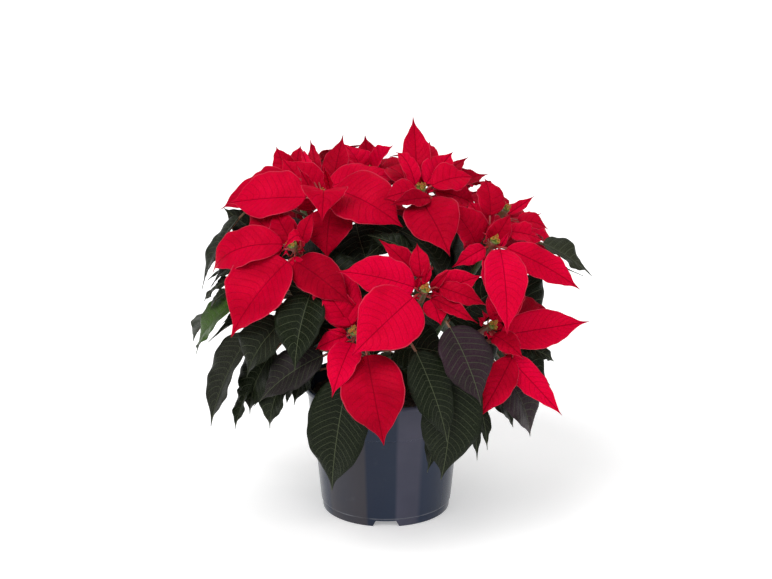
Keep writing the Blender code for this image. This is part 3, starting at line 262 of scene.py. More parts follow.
# Leaves of the front: base and tip of the blade, width and arch
FRONT_LEAVES = (
    ((-38, -88, 150), (-54, -201, 98), 58, 9),
    ((66, -72, 146), (55, -190, 94), 58, 11),
    ((30, -62, 164), (61, -152, 132), 42, 9),
    ((64, -38, 158), (95, -116, 150), 48, 8),
    ((114, -78, 104), (144, -147, 78), 46, 8),
    ((-63, -66, 140), (-126, -112, 116), 35, 8),
    ((-103, -32, 124), (-139, -88, 110), 40, 8),
    ((-76, -6, 136), (-91, -80, 148), 45, 8),
    ((-146, -10, 70), (-190, -65, 12), 32, 7),
    ((-136, -46, 88), (-175, -137, 60), 33, 6),
    ((-147, 72, 54), (-184, 0, 18), 24, 5),
    ((-150, -12, 0), (-193, -52, -84), 28, 7),
    ((-111, -60, 92), (-136, -125, 72), 34, 7),
    ((-98, -82, 100), (-116, -139, 84), 27, 6),
    ((-134, -92, 80), (-151, -140, 70), 14, 2),
    ((-86, -76, 100), (-99, -114, 96), 18, 4),
    ((-156, 10, 52), (-182, -12, 20), 10, 3),
    ((-158, -2, 56), (-175, -20, 32), 9, 3),
    ((54, -106, 112), (41, -183, 74), 22, 6),
    ((80, -100, 104), (91, -171, 80), 14, 4),
    ((88, -98, 100), (101, -160, 80), 13, 4),
    ((157, 46, 72), (206, 13, 60), 30, 3),
    ((168, 24, 44), (186, 4, 36), 9, 3),
    ((134, -56, 96), (168, -72, 74), 16, 4),
    ((24, 38, 120), (-18, 54, 112), 18, 4),
    ((20, -20, 84), (-40, 20, 96), 44, 6),
    ((60, 0, 84), (10, 60, 84), 40, 6),
    ((64, -30, 86), (128, 10, 82), 44, 6),
    ((10, -60, 96), (64, -66, 128), 44, 6),
    ((-60, -20, 70), (-104, 10, 92), 40, 6),
    ((-30, 66, 64), (-12, 10, 92), 50, 6),
    ((18, 62, 60), (66, 42, 74), 50, 6),
    ((84, 60, 44), (66, 6, 74), 50, 6),
    ((-64, 44, 56), (-52, -12, 84), 48, 6),
    ((-112, 26, 56), (-146, 56, 34), 40, 6),
    ((118, -2, 60), (150, -38, 56), 46, 6),
    ((-2, -18, 64), (-14, -72, 88), 48, 6),
    ((72, -46, 54), (104, -92, 60), 46, 6),
    ((-48, -36, 60), (-84, -72, 70), 44, 6),
)

# Leaves seen deep between the front ones, with the same columns
INNER_LEAVES = (
    ((112, -56, 60), (164, -96, 44), 34, 4),
    ((-118, 48, 40), (-163, 82, 30), 30, 3),
    ((96, -86, 84), (127, -138, 68), 30, 4),
    ((-136, 34, 44), (-176, 2, 34), 26, 4),
    ((-66, 22, 84), (-14, -2, 96), 40, 5),
    ((-64, 56, 70), (-112, 28, 80), 40, 5),
    ((-66, -60, 88), (-92, -116, 84), 26, 4),
    ((24, 66, 70), (-22, 30, 84), 36, 5),
)
# Rings of leaves made by rule: count, first bearing, last bearing, and radius and height of base and tip
LEAF_RINGS = (
    (7, 8.0, 172.0, 92.0, 176.0, 172.0, 104.0),
    (7, -14.0, 194.0, 66.0, 150.0, 138.0, 110.0),
    (8, 0.0, 180.0, 104.0, 206.0, 200.0, 168.0),
    (5, 16.0, 164.0, 112.0, 238.0, 198.0, 224.0),
    (9, -176.0, 140.0, 56.0, 214.0, 122.0, 236.0),
)
LEAF_WIDTHS = (34.0, 52.0)

# The plant's outline from the front, right and rise: sheets that the rule makes stay within it
OUTLINE = (
    (27, 172), (36, 150), (46, 147), (60, 136), (68, 132), (80, 120), (100, 118), (104, 108), (116, 96),
    (132, 90), (150, 92), (160, 66), (170, 52), (186, 44), (194, 24), (206, 13), (188, 6), (196, 0), (170, 10),
    (152, 4), (156, -18), (203, -31), (182, -42), (166, -62), (166, -90), (177, -126), (146, -104), (144, -148),
    (120, -132), (103, -160), (92, -171), (72, -160), (55, -190), (-54, -201), (-80, -116), (-99, -114),
    (-116, -139), (-134, -118), (-152, -140), (-156, -96), (-175, -136), (-180, -74), (-172, -50), (-190, -65),
    (-190, -44), (-160, -10), (-184, 0), (-164, 40), (-150, 78), (-134, 60), (-134, 78), (-158, 84),
    (-140, 108), (-118, 124), (-111, 143), (-92, 139), (-78, 142), (-44, 144), (-20, 147), (-4, 142),
    (6, 136), (20, 140),
)
SEED = 11
GOLDEN = math.radians(137.508)


def seen(right, rise, near):
    """The point that is seen this far right of and above the middle of the crown, this near to the eye."""
    spread = 1.0 - near / EYE_DISTANCE
    return CROWN + RIGHT * (right * spread) + RISE * (rise * spread) + NEAR * near


def drawn(point):
    """Right and rise of a point, the other way round from seen()."""
    away = point - CROWN
    spread = 1.0 - away.dot(NEAR) / EYE_DISTANCE
    return away.dot(RIGHT) / spread, away.dot(RISE) / spread


def within_outline(point):
    right, rise = drawn(point)
    inside = False
    for first, second in zip(OUTLINE, OUTLINE[1:] + OUTLINE[:1]):
        if (first[1] > rise) != (second[1] > rise):
            share = (rise - first[1]) / (second[1] - first[1])
            if right < first[0] + share * (second[0] - first[0]):
                inside = not inside
    return inside


def bow(first, lead, last, share):
    """A point on the curve from first to last that is pulled towards lead."""
    rest = 1.0 - share
    return first * (rest * rest) + lead * (2.0 * rest * share) + last * (share * share)


def across(vector, axis):
    """The part of a vector square to an axis, as a unit vector."""
    part = vector - axis * vector.dot(axis)
    if part.length < 1e-6:
        part = axis.orthogonal()
    return part.normalized()


# Sheets


def sheet_shape(sheet, move):
    """The sheet's frame after a move: lift of its tip, roll, change of arch, and share of its length."""
    lift, roll, swell, share, root = move
    base = sheet["base"] + sheet["lift"] * (lift * 0.35)
    tip = base + (sheet["tip"] + sheet["lift"] * lift - base) * share
    line = (tip - base).normalized()
    face = across(sheet["hint"], line)
    face = Matrix.Rotation(math.radians(sheet["roll"] + roll), 3, line) @ face
    side = line.cross(face).normalized()
    arch = sheet["arch"] + swell
    lead = (base + tip) * 0.5 + face * (2.0 * arch)
    width = sheet["width"] * share
    if sheet["measured"]:
        slope = Vector((line.dot(RIGHT), line.dot(RISE), 0.0))
        flat = Vector((side.dot(RIGHT), side.dot(RISE), 0.0))
        shown = slope.normalized().cross(flat).length if slope.length > 1e-6 else 1.0
        width = width / max(0.62, shown * math.cos(sheet["fold"]))
    start = (lead - base).normalized()
    foot = sheet["roots"][min(root, len(sheet["roots"]) - 1)]
    gap = (base - foot).length
    return {
        "sheet": sheet,
        "base": base,
        "lead": lead,
        "tip": tip,
        "side": side,
        "half": width * 0.5,
        "foot": foot,
        "bend": base - start * (gap * 0.45),
        "long": max((tip - base).length, 0.5 * ((lead - base).length + (tip - lead).length)),
    }


def sheet_width(kind, along):
    """Half the width there, as a share of the widest: bracts are widest at 0.4, leaves nearer their base.

    Past the middle the sides draw in, so that the blade ends in a long thin point.
    """
    rise, fall = (0.60, 1.0) if kind == "bract" else (0.54, 0.98)
    top = rise / (rise + fall)
    most = top**rise * (1.0 - top) ** fall
    late = min(1.0, max(0.0, (along - 0.55) / 0.4))
    point = 1.0 - 0.4 * late * late * (3.0 - 2.0 * late)
    return along**rise * (1.0 - along) ** fall / most * point


def sheet_point(shape, along, across_it, lift=0.0):
    """A point of the sheet: along is 0 to 1 on the blade and -1 to 0 on the petiole, across_it is -1 to 1."""
    sheet = shape["sheet"]
    if along < 0.0:
        first, lead, last = shape["foot"], shape["bend"], shape["base"]
        share = along + 1.0
    else:
        first, lead, last = shape["base"], shape["lead"], shape["tip"]
        share = along
    point = bow(first, lead, last, share)
    tangent = ((lead - first) * (1.0 - share) + (last - lead) * share).normalized()
    twist = Matrix.Rotation(sheet["twist"] * max(0.0, along), 3, tangent)
    side = twist @ across(shape["side"], tangent)
    normal = side.cross(tangent)
    half = 0.5 * PETIOLE_WIDTH
    wave = 0.0
    if along > 0.0:
        half = 0.5 * (PETIOLE_WIDTH * (1.0 - along) + TIP_WIDTH * along)
        half = max(half, shape["half"] * sheet_width(sheet["kind"], along))
        turn = 2.0 * math.pi * (WAVES * along + sheet["phase"] + (0.27 if across_it > 0.0 else 0.0))
        wave = sheet["wave"] * across_it * across_it * math.sin(turn) * math.sin(math.pi * along)
    offset = half * across_it
    fold = sheet["fold"]
    return point + side * (offset * math.cos(fold)) + normal * (abs(offset) * math.sin(fold) + wave + lift)


def sheet_thickness(along):
    return PETIOLE_THICK if along <= 0.0 else SHEET_THICK


def sheet_rows(shape):
    if shape["long"] < SMALL_SHEET:
        return SMALL_ROWS
    if shape["sheet"]["kind"] == "leaf":
        near = (shape["base"] - shape["foot"]).length < SHORT_PETIOLE
        return BRACT_ROWS if near else LEAF_ROWS
    return BROAD_ROWS if shape["sheet"]["measured"] and shape["sheet"]["width"] > BROAD_SHEET else BRACT_ROWS


def sheet_sides(shape, room, least=-1.0):
    """Both faces and the rim of the sheet this much thicker, for the test of whether it clears the others."""
    rows = [along for along in sheet_rows(shape) if along >= least]
    points = []
    for sign in (0.5, -0.5):
        for along in rows:
            for column in (-1.0, 0.0, 1.0):
                points.append(sheet_point(shape, along, column, sign * (sheet_thickness(along) + room)))
    count = len(rows) * 3
    faces = []
    for row in range(len(rows) - 1):
        for column in range(2):
            corner = row * 3 + column
            faces.append((corner, corner + 1, corner + 4, corner + 3))
            corner += count
            faces.append((corner, corner + 3, corner + 4, corner + 1))
        for column in (0, 2):
            corner = row * 3 + column
            faces.append((corner, corner + 3, corner + 3 + count, corner + count))
    end = count - 3
    for column in range(2):
        faces.append((column, column + count, column + 1 + count, column + 1))
        corner = end + column
        faces.append((corner, corner + 1, corner + 1 + count, corner + count))
    return points, faces


def tube_sides(line, radii, room):
    """A square tube round a line, for the same test."""
    points = []
    faces = []
    for index, point in enumerate(line):
        ahead = line[min(index + 1, len(line) - 1)] - line[max(index - 1, 0)]
        ahead.normalize()
        first = across(UP if abs(ahead.z) < 0.9 else RIGHT, ahead)
        second = ahead.cross(first)
        radius = radii[index] + 0.5 * room
        for turn in range(4):
            angle = math.pi * 0.5 * turn
            points.append(point + first * (radius * math.cos(angle)) + second * (radius * math.sin(angle)))
        if index:
            low = index * 4 - 4
            for turn in range(4):
                after = (turn + 1) % 4
                faces.append((low + turn, low + after, low + 4 + after, low + 4 + turn))
    end = len(points) - 4
    faces.append((3, 2, 1, 0))
    faces.append((end, end + 1, end + 2, end + 3))
    return points, faces


class Placed:
    """What already stands, to be kept clear of."""

    def __init__(self):
        self.nodes = []
        self.trees = []
        self.outer = []
        self.boxes = np.zeros((0, 6))

    def add(self, node, whole, outer):
        points = np.array([tuple(point) for point in whole[0]])
        box = np.concatenate([points.min(axis=0), points.max(axis=0)])
        self.nodes.append(node)
        self.trees.append(BVHTree.FromPolygons(whole[0], whole[1]))
        self.outer.append(BVHTree.FromPolygons(outer[0], outer[1]) if outer else None)
        self.boxes = np.vstack([self.boxes, box])

    def close_to(self, points):
        low = points.min(axis=0)
        high = points.max(axis=0)
        apart = (self.boxes[:, :3] > high).any(axis=1) | (self.boxes[:, 3:] < low).any(axis=1)
        return np.nonzero(~apart)[0]


def settle(node, sheet, moves, placed):
    """The first move of the sheet that keeps it clear of other nodes, and, if there is one, of its own."""
    fallback = None
    tries = 0
    for move in moves:
        shape = sheet_shape(sheet, move)
        if not sheet["measured"]:
            ends = [sheet_point(shape, along, side) for along in (0.3, 0.65, 1.0) for side in (-1.0, 1.0)]
            if not all(within_outline(point) for point in ends):
                continue
        whole = sheet_sides(shape, ROOM)
        tree = BVHTree.FromPolygons(whole[0], whole[1])
        near = placed.close_to(np.array([tuple(point) for point in whole[0]]))
        if any(placed.nodes[i] != node and tree.overlap(placed.trees[i]) for i in near):
            continue
        outer = sheet_sides(shape, 0.0, OWN_FROM)
        tree = BVHTree.FromPolygons(outer[0], outer[1])
        own = [i for i in near if placed.nodes[i] == node and placed.outer[i]]
        if not any(tree.overlap(placed.outer[i]) for i in own):
            return shape
        fallback = fallback or shape
        tries += 1
        if tries > 90:
            break
    return fallback


def moves_of(lifts, rolls, swells, shares, roots):
    """Every mix of these, those that change least first."""
    found = []
    for lift in lifts:
        for roll in rolls:
            for swell in swells:
                for share in shares:
                    for root in roots:
                        cost = abs(lift) / 9.0 + abs(roll) / 20.0 + abs(swell) / 8.0
                        cost += (1.0 - share) * 26.0 + root * 0.6
                        found.append((cost, (lift, roll, swell, share, root)))
    found.sort(key=lambda item: item[0])
    return [move for _, move in found]


# Plan of the plant


def bloom_axis(heart):
    """A bloom looks outwards and up from the crown."""
    outward = heart - Vector((0.0, 0.0, 165.0))
    return (outward.normalized() + UP * 0.25).normalized()


def stem_line(plant, heart, order):
    """A leafy stem: out from its main stem, and up to the foot of its bloom."""
    axis = bloom_axis(heart)
    end = heart - axis * (STALK_LENGTH + CLEAR)
    main = MAIN_STEMS[plant] + UP * FORK_HEIGHTS[order % len(FORK_HEIGHTS)]
    outward = Vector((end.x - main.x, end.y - main.y, 0.0)).normalized()
    lead = main + outward * 22.0 + UP * 26.0
    before = end - axis * 34.0
    points = [main, main + outward * 9.0 + UP * 3.0]
    for share in (0.35, 0.7):
        points.append(bow(main + outward * 9.0, lead.lerp(before, 0.5), end, share))
    points.append(end - axis * 6.0)
    points.append(end)
    return points


def new_sheet(label, kind, base, tip, width, arch, hint, roots, lift, measured, rng):
    long = (tip - base).length
    small = long < SMALL_SHEET
    return {
        "label": label,
        "kind": kind,
        "base": base,
        "tip": tip,
        "width": width,
        "arch": arch,
        "hint": hint,
        "roll": rng.uniform(-8.0, 8.0),
        "fold": math.radians(rng.uniform(8.0, 20.0)),
        "twist": math.radians(rng.uniform(-14.0, 14.0)),
        "wave": rng.uniform(0.6, 1.2) if small else rng.uniform(1.6, 3.2),
        "phase": rng.random(),
        "roots": roots,
        "lift": lift,
        "measured": measured,
    }


def bract_root(heart, axis, base, tip, layer):
    """Where a bract leaves the bloom's stalk, and its base, kept off the flower cups."""
    foot = heart - axis * (4.0 + 1.25 * layer)
    outward = across(tip - heart, axis)
    away = base - heart
    clear = (away - axis * away.dot(axis)).length
    if clear < CUP_SPACE + 1.5:
        base = foot + outward * (8.0 + 0.3 * layer) + axis * 1.0
    return foot, base


def nearest_roots(base, stems, count):
    """The places on stems that lie best for a leaf with this base: near it, and lower."""
    found = []
    for plant, line in stems:
        for first, second in zip(line[1:-2], line[2:-1]):
            for share in (0.25, 0.75):
                point = first.lerp(second, share)
                drop = max(0.0, point.z - base.z + 8.0)
                found.append(((point - base).length + 2.0 * drop, plant, point))
    found.sort(key=lambda item: item[0])
    return found[:count]


def plan():
    """Every stem, bloom and sheet, placed so that no sheet crosses another node."""
    rng = random.Random(SEED)
    placed = Placed()
    blooms = [(name, plant, seen(*heart), rows) for name, plant, heart, rows in FRONT_BLOOMS]
    blooms += [(name, plant, heart, ()) for name, plant, heart in BACK_BLOOMS]
    stems = []
    forks = [0, 0, 0]
    for plant, main in enumerate(MAIN_STEMS):
        line = [main + UP * MAIN_FOOT, main + UP * MAIN_TOP]
        tube = tube_sides(line, [MAIN_RADIUS] * 2, 0.0)
        placed.add("plant_%d" % (plant + 1), tube, tube)
    for name, plant, heart, rows in blooms:
        line = stem_line(plant, heart, forks[plant])
        forks[plant] += 1
        stems.append((plant, line))
        tube = tube_sides(line, [STEM_RADIUS] * len(line), 0.0)
        placed.add("plant_%d" % (plant + 1), tube, tube)
        axis = bloom_axis(heart)
        stalk = [heart - axis * STALK_LENGTH, heart]
        placed.add(name, tube_sides(stalk, [STALK_RADIUS, STALK_TOP], 0.0), None)
        cups = [heart + axis * CLEAR, heart + axis * (CUP_HEIGHT + 3.0)]
        placed.add(name + "_cyathia", tube_sides(cups, [CUP_SPACE] * 2, 0.0), None)
    rim = POT_HEIGHT + 1.0
    radius = WALL_RADIUS + WALL_FLARE * (POT_HEIGHT - FOOT_HEIGHT) + COLLAR_STEP + LIP_OVERHANG
    pot = []
    for step in range(24):
        turn = 2.0 * math.pi * step / 24
        pot.append(Vector((math.cos(turn), math.sin(turn), 0.0)))
    ring = [point * (radius + 0.8) + UP * rim for point in pot]
    foot = [point * (WALL_RADIUS + 1.0) + UP * 2.0 for point in pot]
    soil = [point * (radius - 12.0) + UP * (SOIL_TOP + 4.0) for point in pot]
    sides = [(i, (i + 1) % 24, 24 + (i + 1) % 24, 24 + i) for i in range(24)]
    sides += [(i, (i + 1) % 24, 48 + (i + 1) % 24, 48 + i) for i in range(24)]
    placed.add("pot", (ring + foot + soil, sides), None)

    shapes = []
    exact = moves_of(
        (0, 5, -5, 10, -10, 16, -16, 24, -24, 34, -34, 46),
        (0, 14, -14, 28, -28, 42, -42),
        (0, 5, -5, 10, 16),
        (1.0, 0.9, 0.78),
        (0,),
    )
    leafy = moves_of(
        (0, 6, -6, 12, -12, 20, -20, 30, -30),
        (0, 16, -16, 32, -32),
        (0, 6, 12),
        (1.0, 0.88, 0.74),
        (0, 1, 2, 3, 5, 7),
    )
    free = moves_of(
        (0, 8, -8, 16, -16, 26, -26, 38, -38),
        (0, 16, -16, 32, -32),
        (0, 6),
        (1.0, 0.86, 0.72, 0.58),
        (0, 2),
    )

    def put(node, sheet, moves, needed):
        shape = settle(node, sheet, moves, placed)
        if shape is None:
            if needed:
                print("no room for a sheet of", node, tuple(round(value) for value in drawn(sheet["tip"])))
            return
        placed.add(node, sheet_sides(shape, 0.0), sheet_sides(shape, 0.0, OWN_FROM))
        shapes.append((node, shape))

    queue = []
    for name, plant, heart, rows in blooms:
        axis = bloom_axis(heart)
        for layer, (base, tip, width, arch) in enumerate(sorted(rows, key=lambda row: row[2])):
            base = seen(*base)
            tip = seen(*tip)
            foot, base = bract_root(heart, axis, base, tip, layer)
            label = "%s %d" % (name, layer)
            # A bract that folds over keeps its fold level
            hint = UP if arch > FOLDED else axis + NEAR * 0.7
            sheet = new_sheet(label, "bract", base, tip, width, arch, hint, [foot], NEAR, True, rng)
            queue.append((-(base + tip).dot(NEAR) - 2.0 * width, name, sheet))
    queue.sort(key=lambda item: item[0])
    for _, name, sheet in queue:
        put(name, sheet, exact, True)
    leaf_rows = [("leaf %d" % order, row, rng) for order, row in enumerate(FRONT_LEAVES)]
    inner = random.Random(SEED + 3)
    leaf_rows += [("inner %d" % order, row, inner) for order, row in enumerate(INNER_LEAVES)]
    for label, (base, tip, width, arch), source in leaf_rows:
        base = seen(*base)
        tip = seen(*tip)
        roots = nearest_roots(base, stems, 8)
        middle = (base + tip) * 0.5
        hint = UP * 0.8 + Vector((middle.x, middle.y, 0.0)).normalized()
        best = [place for place in roots if place[1] == roots[0][1]]
        node = "plant_%d" % (roots[0][1] + 1)
        best = [place[2] for place in best]
        sheet = new_sheet(label, "leaf", base, tip, width, arch, hint, best, NEAR, True, source)
        put(node, sheet, leafy, True)
    for name, plant, heart, rows in blooms:
        axis = bloom_axis(heart)
        ruled = RULED_BRACTS.get(name, BACK_BRACTS if not rows else 0)
        level = across(UP, axis)
        other = axis.cross(level)
        first = rng.uniform(0.0, 6.0)
        for order in range(COLLAR_BRACTS if len(rows) > 5 else 0):
            angle = first + 2.0 * math.pi * order / COLLAR_BRACTS
            outward = level * math.cos(angle) + other * math.sin(angle)
            long = rng.uniform(*COLLAR_LENGTHS)
            tip = heart + outward * (8.0 + long * 0.45) + axis * (long * 0.8)
            foot, base = bract_root(heart, axis, heart, tip, 0)
            sheet = new_sheet("collar", "bract", base, tip, long * 0.4, 3.0, axis, [foot], axis, False, rng)
            put(name, sheet, free, False)
        first = rng.uniform(0.0, 6.0)
        away = math.atan2(-NEAR.dot(other), -NEAR.dot(level))
        for order in range(ruled):
            if rows:
                angle = away + math.radians(34.0) * (order - (ruled - 1) / 2)
            else:
                angle = first + GOLDEN * order
            share = 1.0 - order / max(1, ruled)
            long = BRACT_LENGTHS[0] + (BRACT_LENGTHS[1] - BRACT_LENGTHS[0]) * share * rng.uniform(0.85, 1.05)
            outward = level * math.cos(angle) + other * math.sin(angle)
            tilt = math.radians(70.0 + 24.0 * share + rng.uniform(-6.0, 6.0))
            tip = heart + (axis * math.cos(tilt) + outward * math.sin(tilt)) * long
            foot, base = bract_root(heart, axis, heart, tip, ruled - order)
            width = long * rng.uniform(0.44, 0.56)
            sheet = new_sheet("ruled", "bract", base, tip, width, long * 0.1, axis, [foot], axis, False, rng)
            put(name, sheet, free, False)
    for count, begin, finish, near_radius, low, far_radius, high in LEAF_RINGS:
        for order in range(count):
            bearing = math.radians(begin + (finish - begin) * order / (count - 1) + rng.uniform(-7.0, 7.0))
            out = Vector((math.cos(bearing), math.sin(bearing), 0.0))
            base = out * (near_radius * rng.uniform(0.9, 1.1)) + UP * (low + rng.uniform(-8.0, 8.0))
            swing = Matrix.Rotation(rng.uniform(-0.2, 0.2), 3, "Z")
            tip = swing @ out * (far_radius * rng.uniform(0.92, 1.06)) + UP * (high + rng.uniform(-14.0, 14.0))
            width = rng.uniform(*LEAF_WIDTHS)
            roots = nearest_roots(base, stems, 8)
            best = [place[2] for place in roots if place[1] == roots[0][1]]
            sheet = new_sheet("ruled", "leaf", base, tip, width, 9.0, UP * 0.8 + out, best, UP, False, rng)
            put("plant_%d" % (roots[0][1] + 1), sheet, leafy, False)
    return blooms, stems, shapes


# Looks

LENS_SHARE = 0.772
FINE_THICK = 0.56
BLADE_STEPS = (40, 12)
SMALL_STEPS = (18, 8)
STEM_SIDES = 14
# How many times round the pot the upright bands of painted reflection repeat
POT_REFLECTION_BANDS = 2.0
# Tone of listed sheets. For the bracts it is partly their own deeper or duller red and partly painted light and shade:
# low for lit bracts, high for those in shade. For the leaves it picks the hue, and near 1 it is the bright green of
# leaves with painted backlight.
TONES_AND_PAINTED_LIGHT = {
    "leaf 0": 0.1, "leaf 1": 0.2, "leaf 2": 0.15, "leaf 3": 0.82, "leaf 4": 0.8, "leaf 5": 0.72, "leaf 6": 0.5,
    "leaf 7": 0.25, "leaf 8": 0.98, "leaf 9": 0.62, "leaf 10": 0.35, "leaf 21": 0.9,
    "bloom_07 5": 0.85, "bloom_03 11": 0.8, "bloom_01 12": 0.6, "bloom_02 10": 0.55, "bloom_05 11": 0.1,
    "bloom_04 10": 0.25, "bloom_01 8": 0.6, "bloom_01 9": 0.3, "bloom_04 9": 0.15, "bloom_08 5": 0.3,
}
TIP_SHARP = 0.45


def field(tree, name):
    node = tree.nodes.new("ShaderNodeAttribute")
    node.attribute_name = name
    return node.outputs["Fac"]


def math_node(tree, operation, first, second=0.0):
    node = tree.nodes.new("ShaderNodeMath")
    node.operation = operation
    for index, value in enumerate((first, second)):
        if isinstance(value, bpy.types.NodeSocket):
            tree.links.new(value, node.inputs[index])
        else:
            node.inputs[index].default_value = value
    return node.outputs[0]


def smooth_step(tree, value, low, high, start=0.0, end=1.0):
    node = tree.nodes.new("ShaderNodeMapRange")
    node.interpolation_type = "SMOOTHSTEP"
    tree.links.new(value, node.inputs["Value"])
    for name, number in (("From Min", low), ("From Max", high), ("To Min", start), ("To Max", end)):
        node.inputs[name].default_value = number
    return node.outputs["Result"]


def mix_color(tree, share, first, second):
    node = tree.nodes.new("ShaderNodeMix")
    node.data_type = "RGBA"
    for index, value in ((0, share), (6, first), (7, second)):
        if isinstance(value, bpy.types.NodeSocket):
            tree.links.new(value, node.inputs[index])
        elif index:
            node.inputs[index].default_value = (*value, 1.0)
        else:
            node.inputs[index].default_value = value
    return node.outputs[2]


def ramp(tree, value, stops):
    node = tree.nodes.new("ShaderNodeValToRGB")
    tree.links.new(value, node.inputs["Fac"])
    while len(node.color_ramp.elements) < len(stops):
        node.color_ramp.elements.new(0.5)
    for element, (place, color) in zip(node.color_ramp.elements, stops):
        element.position = place
        element.color = (*color, 1.0)
    return node.outputs["Color"]


def noise_of(tree, scale, detail=3.0, stretch=None):
    place = tree.nodes.new("ShaderNodeTexCoord").outputs["Object"]
    if stretch:
        mapping = tree.nodes.new("ShaderNodeMapping")
        mapping.inputs["Scale"].default_value = stretch
        tree.links.new(place, mapping.inputs["Vector"])
        place = mapping.outputs["Vector"]
    node = tree.nodes.new("ShaderNodeTexNoise")
    node.inputs["Scale"].default_value = scale
    node.inputs["Detail"].default_value = detail
    tree.links.new(place, node.inputs["Vector"])
    return node.outputs["Fac"]


def cells_of(tree, scale):
    node = tree.nodes.new("ShaderNodeTexVoronoi")
    node.feature = "DISTANCE_TO_EDGE"
    node.inputs["Scale"].default_value = scale
    place = tree.nodes.new("ShaderNodeTexCoord").outputs["Object"]
    tree.links.new(place, node.inputs["Vector"])
    return node.outputs["Distance"]


def bump_of(tree, height, strength, distance):
    node = tree.nodes.new("ShaderNodeBump")
    node.inputs["Strength"].default_value = strength
    node.inputs["Distance"].default_value = distance
    tree.links.new(height, node.inputs["Height"])
    return node.outputs["Normal"]


def new_material(name, roughness):
    material = bpy.data.materials.new(name)
    material.use_nodes = True
    shader = material.node_tree.nodes["Principled BSDF"]
    shader.inputs["Roughness"].default_value = roughness
    return material, material.node_tree, shader


def sheet_lines(tree, vein_width, rib_width):
    """Masks of a sheet's veins: the midrib, the curved side veins, and the fine net between them."""
    phase = math_node(tree, "PINGPONG", field(tree, "phase"), 0.5)
    side = smooth_step(tree, phase, vein_width * 0.25, vein_width, 1.0, 0.0)
    side = math_node(tree, "MULTIPLY", side, smooth_step(tree, field(tree, "edge"), 0.72, 0.97, 1.0, 0.0))
    middle = smooth_step(tree, field(tree, "rib"), rib_width * 0.35, rib_width, 1.0, 0.0)
    net = smooth_step(tree, cells_of(tree, 420.0), 0.02, 0.12, 1.0, 0.0)
    return middle, side, net


def bract_material():
    material, tree, shader = new_material("bract_red", 0.52)
    middle, side, net = sheet_lines(tree, 0.08, 0.7)
    tone = field(tree, "tone")
    cloudy = noise_of(tree, 38.0, 4.0)
    mixed = math_node(tree, "ADD", math_node(tree, "MULTIPLY", cloudy, 0.55), math_node(tree, "MULTIPLY", tone, 0.5))
    # From lit red to deep crimson: for a random tone this is the bract's own variation, and for the listed tones the
    # lighter end is painted light and the darker end painted shade
    color = ramp(tree, mixed, (
        (0.15, (0.74, 0.0, 0.040)),
        (0.45, (0.58, 0.0, 0.026)),
        (0.72, (0.36, 0.0, 0.014)),
        (0.95, (0.17, 0.0, 0.008)),
    ))
    lines = math_node(tree, "MAXIMUM", math_node(tree, "MULTIPLY", side, 0.3), math_node(tree, "MULTIPLY", net, 0.12))
    lines = math_node(tree, "MAXIMUM", lines, math_node(tree, "MULTIPLY", middle, 0.6))
    color = mix_color(tree, lines, color, (0.15, 0.0, 0.006))
    # Painted highlight: a pale pink rim along the bract's edge, partly its own pale fuzzy margin
    pale_edge_highlight = math_node(tree, "MULTIPLY", smooth_step(tree, field(tree, "edge"), 0.95, 1.0), 0.4)
    color = mix_color(tree, pale_edge_highlight, color, (0.85, 0.10, 0.17))
    under = math_node(tree, "MULTIPLY", field(tree, "under"), 0.5)
    color = mix_color(tree, under, color, (0.34, 0.012, 0.03))
    tree.links.new(color, shader.inputs["Base Color"])
    height = math_node(tree, "ADD", math_node(tree, "MULTIPLY", side, -0.6), math_node(tree, "MULTIPLY", net, -0.35))
    height = math_node(tree, "ADD", height, math_node(tree, "MULTIPLY", noise_of(tree, 900.0, 2.0), 0.25))
    height = math_node(tree, "SUBTRACT", height, middle)
    tree.links.new(bump_of(tree, height, 0.6, 0.0008), shader.inputs["Normal"])
    rough = smooth_step(tree, cloudy, 0.3, 0.7, 0.44, 0.6)
    tree.links.new(rough, shader.inputs["Roughness"])
    shader.inputs["Specular IOR Level"].default_value = 0.025
    shader.inputs["Subsurface Weight"].default_value = 0.12
    shader.inputs["Subsurface Radius"].default_value = (1.0, 0.15, 0.1)
    shader.inputs["Subsurface Scale"].default_value = 0.002
    return material


